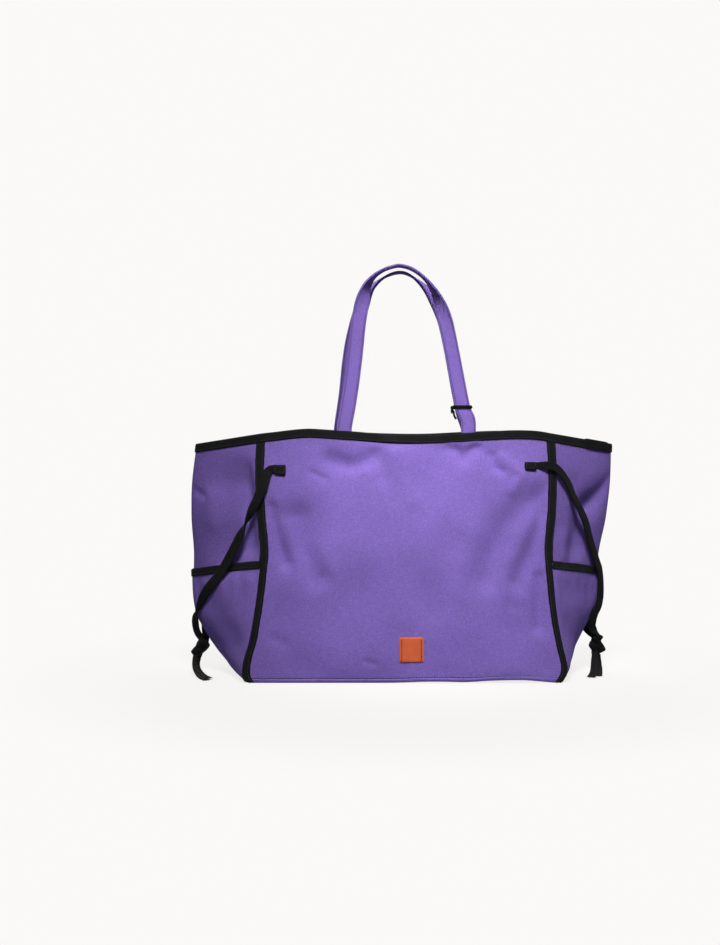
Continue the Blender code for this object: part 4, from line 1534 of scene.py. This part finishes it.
@dataclass
class Handle(Dressing):
    """A strap handle: two sewn ends inside the rim, and a loop with a quarter turn in each leg.

    Attributes:
        face: The panel that it is sewn to.
        rise: The height of its crown over its hinge, along its own plane.
        lean: How far it leans over the bag, in radians.
        hinge_y: The place of its hinge, front to back.
        hinge_z: The height of its hinge.
        left_turn: The shares of the rise between which its left leg turns.
        right_turn: The same of its right leg.
        width: The strap's width.
        thick: The strap's thickness.
        tab: How far its ends reach down inside the bag.
        tab_rows: How many rings each end has.
        stitches: Its stitches.
    """

    face: Face
    rise: float
    lean: float
    hinge_y: float
    hinge_z: float
    left_turn: tuple[float, float]
    right_turn: tuple[float, float]
    width: float = 0.0175
    thick: float = 0.0030
    tab: float = 0.040
    tab_rows: int = 14
    stitches: Stitches = Stitches(0.0030, 0.0016, 0.00062)

    def place(self, points: Array) -> Array:
        """Leans points of the handle's own plane and moves them to the hinge line.

        Args:
            points: The points, with the hinge at their origin.

        Returns:
            The points in the bag's frame.
        """
        x, out, up = points[..., 0], points[..., 1], points[..., 2]
        turn = self.face.value * self.lean
        y = self.hinge_y + out * math.cos(turn) - up * math.sin(turn)
        z = self.hinge_z + out * math.sin(turn) + up * math.cos(turn)
        return np.stack([x, y, z], axis=-1)

    def turned(self, ways: Array) -> Array:
        """Leans directions of the handle's own plane."""
        return self.place(ways) - (0.0, self.hinge_y, self.hinge_z)

    def loop(self) -> tuple[Array, Array, Array]:
        """Follows the loop from its left hinge to its right hinge.

        Returns:
            Its middle line, and the ways across and through the strap.
        """
        left, right = (
            [(x, 0, up) for up, x in LEGS[self.face, side]] for side in (Side.LEFT, Side.RIGHT)
        )
        middle = smooth_route(np.array(left + right[::-1]), 7)
        along = unit(np.gradient(middle, axis=0))
        for _ in range(4):
            along[1:-1] = unit(along[:-2] + 2 * along[1:-1] + along[2:])
        along[0], along[-1] = (0, 0, 1), (0, 0, -1)
        level = -self.face.value * self.lean
        normal = np.array([0.0, 1.0, 0.0])
        across = unit(np.cross(normal, along))
        rising = np.arange(len(middle)) < np.argmax(middle[:, 2])
        start, end = (np.where(rising, *ends) for ends in zip(self.left_turn, self.right_turn))
        share = ease((middle[:, 2] / self.rise - start) / (end - start))[:, None]
        flat = np.array([0.0, math.cos(level), math.sin(level)])
        normal = normal + (flat - normal) * share
        turn = math.pi / 2 * share
        wide = unit(across * np.cos(turn) - self.face.value * normal * np.sin(turn))
        return self.place(middle), self.turned(wide), self.turned(unit(np.cross(wide, along)))

    def end(self, side: Side) -> Array:
        """Finds the middle line of a sewn end, from its foot up to the hinge.

        Args:
            side: Which end.

        Returns:
            The points of the line.
        """
        down = np.linspace(self.tab, 0.0025, self.tab_rows)
        x = np.full(self.tab_rows, LEGS[self.face, side][0][1])
        z = self.hinge_z - down
        way = self.face.value
        places = x + np.linspace(-0.52, 0.52, 7)[:, None] * self.width
        walls = self.form.on_panel(self.face, places, np.minimum(z, 0.276))[..., 1]
        wall = way * (walls * way).min(axis=0)
        rest = wall - way * (self.form.canvas + 0.0003 + self.thick / 2)
        near = self.hinge_y + way * down * 0.12
        inside = np.where(down > 0.012, rest, near)
        y = way * np.minimum(inside * way, near * way + 0.0035)
        y = np.convolve(np.pad(y, 2, mode="edge"), np.ones(5) / 5, mode="valid")
        return np.stack([x, y, z], axis=-1)

    def make(self) -> None:
        """Makes the strap and its two rows of stitches on each face."""
        loop, wide, thick = self.loop()
        middle = np.concatenate([self.end(Side.LEFT), loop, self.end(Side.RIGHT)[::-1]])
        wide, thick = (
            np.pad(ways, ((self.tab_rows, self.tab_rows), (0, 0)), mode="edge")
            for ways in (wide, thick)
        )
        name = self.face.word + "_handle"
        outline = STRAP_OUTLINE * (self.width / 2, self.thick / 2)
        piece = make_loft(name, tape_rings(middle, wide, thick, outline), self.finish.strap)
        sunk = 0.38 - 0.26 * ease(((middle[:, 2] - self.hinge_z) / self.rise - 0.62) / 0.2)
        lines = []
        for edge in (-0.77, 0.77):
            for way in (-1, 1):
                line = middle + wide * edge * self.width / 2
                line = line + thick * way * self.thick * sunk[:, None]
                lines.append((line, thick * way))
        thread = self.stitches.sew(name + "_stitching", lines, self.finish.purple_thread)
        tabs = [f"{self.face.word}_{side.word}_handle_tab" for side in Side]
        for part in (piece, thread):
            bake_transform(part)
            LOG.info("%s", part.name)
        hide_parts(name, *tabs)


# The band's knot, its hanging end and its short end, in steps across, through and up the strap
BAND_KNOT = (
    (0.6, 0.8, -0.4), (-1.1, 0.2, 0.9), (-1.3, -1.0, -0.6), (0.5, -0.9, 0.5), (0.3, 0.9, 1.0),
    (-1.5, 0.6, -0.9), (-0.9, -0.9, -2.2), (-0.5, -0.6, -4.0), (-0.9, -0.2, -7.0),
    (-0.6, 0.0, -9.6), (0.1, 0.2, -11.6),
)
BAND_SHORT = ((-0.6, 0.4, 0.2), (-1.9, 0.8, -1.6), (-2.6, 0.6, -3.6), (-2.2, 0.4, -5.2))


@dataclass
class Band:
    """A thin black cord wound twice round the front handle's right leg and knotted."""

    handle: Handle
    finish: Finishes
    up: float = 0.0250
    cord: float = 0.0011
    step: float = 0.00118

    def make(self) -> None:
        """Makes the winding, the knot and its two ends."""
        middle, wide, thick = self.handle.loop()
        gaps = np.abs(middle[:, 2] - self.handle.hinge_z - self.up)
        index = int(np.argmin(np.where(middle[:, 0] > 0, gaps, math.inf)))
        centre, wide, thick = middle[index], wide[index], thick[index]
        wide = wide * math.copysign(1, wide[0])
        up = unit(np.cross(thick, wide))
        up = up * math.copysign(1, up[2])
        half_wide = self.handle.width / 2 + self.cord
        half_thick = self.handle.thick / 2 + self.cord * 1.1
        turns = np.linspace(0, 4 * math.pi, 161)
        across = np.sign(np.cos(turns)) * np.abs(np.cos(turns)) ** 0.35
        through = np.sign(np.sin(turns)) * np.abs(np.sin(turns)) ** 0.6
        rise = (turns / (4 * math.pi) - 0.5) * 0.0026 + across * 0.0024
        line = centre - wide * across[:, None] * half_wide - thick * through[:, None] * half_thick
        self.tube("handle_band", line + up * rise[:, None], 1.0, "handle_band")
        start = centre - wide * (half_wide + self.cord) + up * 0.0022
        frame = np.stack([wide, thick, up]) * self.step
        knot, short = (
            smooth_route(start + np.array(rows) @ frame, 6) for rows in (BAND_KNOT, BAND_SHORT)
        )
        self.tube("handle_band_end", knot, 1.25, "handle_band_end")
        self.tube("handle_band_short_end", short, 0.9)

    def tube(self, name: str, line: Array, size: float, *nodes: str) -> None:
        """Makes a round cord along a line.

        Args:
            name: The piece's name.
            line: Its middle line.
            size: The share of the cord's radius that it has.
            *nodes: The plain solids that it stands for.
        """
        along = unit(np.gradient(line, axis=0))
        side = unit(np.cross(along, (0.31, 0.87, 0.38)))
        rings = round_rings(line, side, np.cross(along, side), self.cord * size, 8)
        settle(make_loft(name, rings, self.finish.tie), "black_tape", *nodes, body="front_handle")


@dataclass(frozen=True)
class TiePair:
    """What the two ties of one side share.

    Attributes:
        side: Their side.
        knot: The middle of their knot.
        pad_height: The height of each sewn end.
        pad_slant: How steeply it slants down.
        start: The upper places of each: x, distance from the middle plane, z, and look across.
        turns: How far the tape has turned, in degrees, by share of its line.
        widths: The share of its width that it keeps, by share of its line.
    """

    side: Side
    knot: Place
    pad_height: float
    pad_slant: float
    start: Rows
    turns: Rows
    widths: Rows


@dataclass
class Tie(Dressing):
    """A soft tape tie: its sewn end, its hanging length, its share of the knot and its tail.

    Attributes:
        pair: What it shares with the side's other tie.
        face: The panel that it is sewn to.
        length: Its whole length; not used.
        knot_width: How wide its share of the knot is.
        rest: The lower places of its route, in the form of the pair's start.
        tail: The places of its tail: x, y, z, look front to back, look up.
        width: The tape's width.
        thick: The tape's thickness.
        stitches: The stitches of its sewn end.
    """

    pair: TiePair
    face: Face
    length: float
    knot_width: float
    rest: Rows
    tail: Rows
    width: float = 0.0100
    thick: float = 0.0018
    stitches: Stitches = Stitches(0.0024, 0.0017, 0.00022)

    def route(self) -> tuple[Array, Array]:
        """Reads the tie's hanging length.

        Returns:
            Its places, and the way that the tape looks at each.
        """
        x, out, z, look = np.array(self.pair.start + self.rest).T
        way = np.full(len(x), float(self.face.value))
        return np.stack([x, way * out, z], axis=-1), np.stack([look, way, 0 * way], axis=-1)

    def on_wall(self, inwards: Array, up: Array) -> tuple[Array, Array]:
        """Finds places of the panel near the tie's first place.

        Args:
            inwards: Distances from it towards the middle of the bag.
            up: Distances up from it.

        Returns:
            The points and the normals.
        """
        x, _, z = self.route()[0][0]
        return self.form.cloth_at(self.face, x - self.pair.side.value * inwards, z + up)

    def knot_line(self) -> Array:
        """Finds the line of one strand through the overhand knot.

        Returns:
            Points from its top to its foot.
        """
        t = np.linspace(1.93, -1.93, 19)
        x = 0.00300 * (t**3 - 3 * t)
        y = 0.00200 * (t**4 - 4 * t**2 + 2)
        z = 0.00082 * (t**5 - 10 * t)
        part = self.face.value
        points = np.stack([0.96 * x + 0.25 * y, 0.96 * y - 0.25 * x, z], axis=-1)
        points = points * (self.knot_width, 1, 1) * (1 + 0.06 * part)
        return self.pair.knot + points + np.array([0.0019, 0.0014, -0.0015]) * part

    def line(self) -> tuple[Array, Array, Array]:
        """Joins the sewn end, the hanging length, the knot and the tail.

        Returns:
            The whole line, the way that the tape looks and each point's share of the route.
        """
        base, normal = self.on_wall(np.array([0.0142, 0.0110, 0.0070, 0.0030]), np.zeros(4))
        sewn = base + normal * self.thick * 0.62
        places, looks = self.route()
        knot = self.knot_line()
        tail = np.array(self.tail)
        points = np.concatenate([sewn, places, knot, tail[:, :3]])
        sewn_looks = np.tile([0, self.face.value, 0.15], (len(sewn), 1))
        tail_looks = np.pad(tail[:, 3:], ((0, 0), (1, 0)))
        ways = np.concatenate([sewn_looks, looks, unit(knot - self.pair.knot), tail_looks])
        shares = [np.zeros(len(sewn)), np.linspace(0, 1, len(places))]
        shares += [np.linspace(1, 2, len(knot)), np.linspace(2, 3, len(tail) + 1)[1:]]
        whole = np.concatenate([points, ways, np.concatenate(shares)[:, None]], axis=1)
        line, ways, share = np.split(smooth_route(whole, 6), [3, 6], axis=1)
        return line, ways, share[:, 0]

    def rings(self) -> tuple[Array, Array]:
        """Draws the tape along its line.

        Returns:
            Its rings and its middle line.
        """
        line, ways, share = self.line()
        along = unit(np.gradient(line, axis=0))
        wide = unit(np.cross(along, ways))
        for index in range(1, len(wide)):
            if share[index] > 1.02 and wide[index] @ wide[index - 1] < 0:
                wide[index] = -wide[index]
        for _ in range(4):
            wide[1:-1] = wide[:-2] + 2 * wide[1:-1] + wide[2:]
            wide = unit(wide - along * (wide * along).sum(axis=1, keepdims=True))
        thick = np.cross(wide, along)
        turn = np.radians(follow(self.pair.turns, share))[:, None]
        wide, thick = (
            wide * np.cos(turn) + thick * np.sin(turn), thick * np.cos(turn) - wide * np.sin(turn)
        )
        bunch = np.clip(follow(self.pair.widths, share), 0.3, 1.2)
        packed = ease((share - 0.94) / 0.10) * ease((2.16 - share) / 0.14)
        half_thick = self.thick / 2 * (1 + 1.6 * np.clip(1 - bunch, 0, 1) + 1.2 * packed)
        half_thick = half_thick * np.interp(share, [2.8, 3.0], [1.0, 0.75])
        size = np.stack([self.width / 2 * bunch, half_thick], axis=-1)
        rings = tape_rings(line, wide, thick, TIE_OUTLINE * size[:, None])
        curl = (0.00055 * np.sin(share * 9.0) * np.clip(bunch, 0, 1))[:, None, None]
        rings = rings + thick[:, None] * curl * (TIE_OUTLINE[:, :1] ** 2 - 0.4)
        rings[..., 2] = np.maximum(rings[..., 2], 0.0002)
        return rings, line

    def pad(self, name: str) -> Piece:
        """Makes the tie's turned-over end, sewn down on top of it.

        Args:
            name: The piece's name.

        Returns:
            The new piece.
        """
        along, rise = np.meshgrid(np.linspace(0.0004, 0.0146, 15), np.linspace(-1, 1, 11))
        round_off = 0.0011 * np.abs(rise) ** 5 * np.sign(along - 0.0075)
        up = rise * self.pair.pad_height / 2 - self.pair.pad_slant * along
        base, normal = self.on_wall(along - round_off, up)
        edge = np.minimum(ease((0.0149 - along) / 0.0012), ease((along - 0.0011) / 0.0010))
        edge = np.minimum(edge, ease((1.06 - np.abs(rise)) / 0.22))
        ridge = 0.00030 * np.cos(along * 1900) * edge
        over = base + normal * (0.0016 + 0.0016 * edge + ridge)[..., None]
        under = base + normal * 0.0004
        if self.pair.side.value * self.face.value < 0:
            over, under = over[:, ::-1], under[:, ::-1]
        return make_layer(name, over, under, self.finish.tie)

    def pad_stitching(self, name: str) -> Piece:
        """Sews the turned-over end down with a box of stitches.

        Args:
            name: The piece's name.

        Returns:
            The new piece.
        """
        near, far, half = 0.0024, 0.0130, 0.7 * self.pair.pad_height / 2
        box = np.array([(near, -half), (far, -half), (far, half), (near, half), (near, -half)])
        run, at = spread_out(box, 0.0004)
        along, rise = read_line(run, box, at).T
        base, normal = self.on_wall(along, rise - self.pair.pad_slant * along)
        lines = [(base + normal * 0.0032, normal)]
        return self.stitches.sew(name, lines, self.finish.black_thread)

    def fringe(self, name: str, rings: Array) -> Piece:
        """Frays the tail's cut end into loose yarns.

        Args:
            name: The piece's name.
            rings: The tape's rings.

        Returns:
            One piece that holds every yarn.
        """
        end, before = rings[-1], rings[-4]
        out = unit(end.mean(axis=0) - before.mean(axis=0))
        wide = end[8] - end[0]
        index = np.arange(11)[:, None, None]
        part = (np.arange(4) / 3)[:, None]
        share = (index + 0.5) / 11
        root = end[0] + wide * share - out * 0.0015
        lean = unit(wide) * (share - 0.5) * 0.9 + (0, 0, 0.35) * np.sin(index * 1.7)
        reach = 0.0018 + 0.0014 * np.abs(np.sin(index * 2.4 + self.pair.side.value)) + 0.0015
        middle = root + (out + lean * part) * reach * part
        middle[..., 2] = np.maximum(middle[..., 2], 0.0003)
        side = unit(np.cross(out, (0.2, 0.1, 0.97)))
        size = 0.00032 * (1 - 0.5 * part[:, 0])
        yarns = round_rings(middle, side, np.cross(out, side), size, 5)
        return make_lofts(name, yarns, self.finish.black_thread)

    def make(self) -> None:
        side = self.pair.side.word
        name = f"{side}_{self.face.word}_tie"
        rings, line = self.rings()
        piece = make_loft(name, rings, self.finish.tie)
        nodes = [name, name + "_tail"]
        if self.face is Face.FRONT:
            nodes.append(side + "_tie_knot")
        settle(piece, "black_tape", *nodes)
        pad = settle(self.pad(name + "_stitch"), "black_tape", name + "_stitch")
        sewn = settle(self.pad_stitching(name + "_stitching"), "black_tape")
        fringe = settle(self.fringe(name + "_fringe", rings), "black_tape")
        run = float(np.linalg.norm(np.diff(line, axis=0), axis=1).sum())
        LOG.info("%s is %.4f m long", name, run)


LEFT_PAIR = TiePair(
    Side.LEFT, knot=(-0.2428, 0.0, 0.0262), pad_height=0.0112, pad_slant=0.10,
    start=table(
        (-1530, 471, 2395, 0), (-1560, 480, 2393, 0), (-1598, 497, 2355, 0),
        (-1625, 515, 2280, -1000), (-1660, 535, 2160, -2500), (-1745, 535, 1980, -4500),
        (-1835, 500, 1795, -6000), (-1935, 450, 1580, -6500), (-2090, 385, 1290, -7000),
        (-2180, 345, 1155, -7500),
    ),
    turns=(
        (0, 0), (0.30, 0), (0.37, 15), (0.42, 90), (0.47, 165), (0.54, 180), (0.66, 180),
        (0.74, 215), (0.80, 275), (0.86, 350), (0.91, 360), (1, 360), (2, 360), (3, 360),
    ),
    widths=(
        (0, 1.05), (0.10, 1.0), (0.25, 1.2), (0.36, 1.1), (0.42, 0.85), (0.50, 1.22), (0.6, 1.32),
        (0.70, 1.2), (0.80, 0.8), (0.87, 1.0), (0.95, 0.84), (1.1, 0.78), (1.9, 0.74),
        (2.15, 0.60), (2.6, 0.66), (3, 0.86),
    ),
)
RIGHT_PAIR = TiePair(
    Side.RIGHT, knot=(0.2290, 0.0, 0.0325), pad_height=0.0090, pad_slant=0.0,
    start=table(
        (1509, 466, 2435, 0), (1570, 478, 2440, 0), (1640, 490, 2442, 0), (1710, 487, 2422, 2500),
        (1785, 460, 2360, 4500), (1880, 415, 2230, 5500), (1945, 385, 2080, 6000),
        (2022, 345, 1945, 6500), (2105, 290, 1770, 7000), (2160, 245, 1580, 7500),
    ),
    turns=((0, 0), (0.3, 12), (0.6, 0), (0.8, 5), (1, 0), (2, 0), (3, 0)),
    widths=(
        (0, 0.92), (0.12, 0.95), (0.25, 0.92), (0.40, 0.98), (0.6, 1.06), (0.8, 0.90),
        (0.9, 0.92), (1.1, 1.0), (1.9, 0.96), (2.15, 0.80), (2.6, 0.86), (3, 0.98),
    ),
)
# Each tie's pair, face, length, knot width, lower places and tail
TIES = (
    (
        LEFT_PAIR, Face.FRONT, 0.40, 1.0,
        table(
            (-2345, 230, 940, -8000), (-2428, 165, 765, -9000), (-2468, 125, 665, -9000),
            (-2478, 85, 560, -3000), (-2462, 45, 455, -1000),
        ),
        table(
            (-2482, -85, 165, -7000, 7000), (-2478, -175, 128, -4000, 10000),
            (-2458, -300, 82, -3000, 10000), (-2407, -460, 42, -2000, 10000),
            (-2342, -610, 16, 0, 10000), (-2277, -715, 11, 0, 10000),
        ),
    ),
    (
        LEFT_PAIR, Face.BACK, 0.39, 1.0,
        table(
            (-2310, 240, 940, -8000), (-2380, 190, 760, -9000), (-2405, 150, 640, -9000),
            (-2388, 95, 530, -4000), (-2380, 50, 450, -1000),
        ),
        table(
            (-2455, -10, 135, -7000, 7000), (-2455, -100, 88, -4000, 10000),
            (-2432, -220, 46, -2000, 10000), (-2388, -350, 22, 0, 10000),
            (-2330, -490, 11, 0, 10000), (-2278, -580, 11, 0, 10000),
        ),
    ),
    (
        RIGHT_PAIR, Face.FRONT, 0.38, 0.75,
        table(
            (2250, 165, 1330, 8500), (2300, 130, 1190, 9000), (2312, 115, 950, 5000),
            (2290, 110, 785, 3000), (2246, 100, 685, 2000), (2222, 85, 590, 0),
            (2226, 55, 510, 0),
        ),
        table(
            (2254, -80, 206, -7000, 7000), (2232, -180, 136, -5000, 10000),
            (2202, -330, 70, -3000, 10000), (2167, -460, 32, -1000, 10000),
            (2131, -550, 13, 0, 10000),
        ),
    ),
    (
        RIGHT_PAIR, Face.BACK, 0.39, -0.60,
        table(
            (2230, 185, 1330, 8500), (2260, 170, 1190, 9000), (2265, 155, 950, 10000),
            (2250, 150, 780, 10000), (2190, 125, 600, 6000), (2172, 75, 500, 2000),
        ),
        table(
            (2298, -10, 180, -8000, 6000), (2289, -105, 104, -5000, 10000),
            (2272, -240, 44, -2000, 10000), (2247, -360, 16, 0, 10000),
            (2222, -460, 11, 0, 10000),
        ),
    ),
)


@dataclass
class Studio:
    """The camera, the soft lights, the pale backdrop and the floor."""

    camera_place: Place = (-0.053, -1.536, 0.277)
    camera_tilt: float = 1.57
    lens: float = 49.3
    pale: Place = (0.956, 0.947, 0.930)
    sky: Place = (0.84, 0.88, 1.0)
    seen_floor: Place = (0.95, 0.94, 0.92)
    unseen_floor: Place = (0.34, 0.35, 0.38)
    fill: float = 0.068
    floor_reach: float = 9.0
    floor_height: float = -0.0004

    def camera(self) -> None:
        """Sets the camera up at the height of the bag's rim."""
        data = bpy.data.cameras.new("camera")
        data.lens = self.lens
        data.sensor_fit = "VERTICAL"
        data.sensor_height = 36
        camera = bpy.data.objects.new("camera", data)
        camera.location = self.camera_place
        camera.rotation_euler = (math.radians(90 - self.camera_tilt), 0, 0)
        bpy.context.scene.collection.objects.link(camera)
        bpy.context.scene.camera = camera

    def lamp(
        self, name: str, place: Place, aim: Place, size: float, power: float, spread: float = 180.0
    ) -> None:
        """Adds a soft square lamp.

        Args:
            name: Its name.
            place: Where it is.
            aim: The point that it looks at.
            size: The length of its sides.
            power: Its power, in watts.
            spread: How widely it shines, in degrees.
        """
        data = bpy.data.lights.new(name, "AREA")
        data.spread = math.radians(spread)
        data.shape = "SQUARE"
        data.size = size
        data.energy = power
        lamp = bpy.data.objects.new(name, data)
        lamp.location = place
        way = np.array(aim) - np.array(place)
        flat = math.hypot(way[0], way[1])
        lamp.rotation_euler = (math.atan2(flat, -way[2]), 0, math.atan2(-way[0], way[1]))
        bpy.context.scene.collection.objects.link(lamp)

    def seen(self, bench: Bench) -> Socket:
        """Adds the test for what a camera, a reflection or glass sees.

        Args:
            bench: The nodes to add it to.

        Returns:
            1 where it is seen, else 0.
        """
        path = bench.node("ShaderNodeLightPath").outputs
        first = bench.step("MAXIMUM", path["Is Camera Ray"], path["Is Glossy Ray"])
        return bench.step("MAXIMUM", first, path["Is Transmission Ray"])

    def world(self) -> None:
        """Sets a pale backdrop and an even fill."""
        world = bpy.data.worlds.new("studio")
        bench = Bench(world, bare=True)
        light = bench.node("ShaderNodeBackground", self.sky, self.fill)
        backdrop = bench.node("ShaderNodeBackground", self.pale)
        shaders = light.outputs[0], backdrop.outputs[0]
        mix = bench.node("ShaderNodeMixShader", self.seen(bench), *shaders)
        bench.node("ShaderNodeOutputWorld", mix.outputs[0])
        bpy.context.scene.world = world

    def floor(self) -> None:
        """Lays a pale floor that keeps the bag's shadow and fades into the backdrop."""
        bench = Bench(bpy.data.materials.new("pale_floor"), bare=True)
        seen = self.seen(bench)
        colour = bench.mix(seen, self.unseen_floor, self.seen_floor)
        paint = bench.node("ShaderNodeBsdfDiffuse", colour)
        glow = bench.node("ShaderNodeEmission", self.pale)
        length = bench.node("ShaderNodeVectorMath", bench.body_place(), operation="LENGTH")
        fade = bench.ramp(length.outputs["Value"], 0.20, 0.50, (0.84, 1.0))
        shaders = paint.outputs[0], glow.outputs[0]
        mix = bench.node("ShaderNodeMixShader", bench.times(fade, seen), *shaders)
        bench.node("ShaderNodeOutputMaterial", mix.outputs[0])
        corners = np.array([(-1, -1, 0), (1, -1, 0), (1, 1, 0), (-1, 1, 0)]) * self.floor_reach
        corners = corners + (0, 0, self.floor_height)
        make_piece("floor", corners, [[0, 1, 2, 3]], bench.holder)

    def make(self) -> None:
        """Sets the whole studio up."""
        self.camera()
        self.world()
        self.lamp("key", (0.01, -0.70, 1.24), (0.025, -0.05, 0.25), 0.40, 1.29, 34.0)
        self.lamp("top", (0.1, 0.50, 1.7), (0.0, 0.0, 0.2), 1.2, 10)
        self.lamp("rear", (-0.3, 1.30, 0.8), (0.0, 0.0, 0.15), 1.0, 9)
        self.floor()
        bpy.context.scene.view_settings.view_transform = "Standard"


def main() -> None:
    """Builds the studio and every piece of the bag, in order."""
    logging.basicConfig(level=logging.INFO, format="%(name)s: %(message)s")
    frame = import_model()
    Studio().make()
    form, finish = BagForm(), Finishes.make()
    for tie in TIES:
        Tie(form, finish, *tie).make()
    Shell(form, finish).make()
    SeamTapes(form, finish).make()
    RimBinding(form, finish).make()
    Pocket(form, finish, Side.LEFT, fold_height=0.120, gather=0.0026).make()
    Pocket(form, finish, Side.RIGHT, fold_height=0.1225, gather=0.0012).make()
    Patch(form, finish).make()
    front = Handle(
        form, finish, Face.FRONT, rise=0.193, lean=0.1212816, hinge_y=-0.0329,
        hinge_z=0.2866014, left_turn=(0.68, 0.99), right_turn=(0.56, 0.95),
    )
    back = Handle(
        form, finish, Face.BACK, rise=0.188, lean=0.1245237, hinge_y=0.0329,
        hinge_z=0.2864560, left_turn=(0.66, 1.02), right_turn=(0.66, 1.03),
    )
    front.make()
    back.make()
    Band(front, finish).make()


if __name__ == "__main__":
    main()
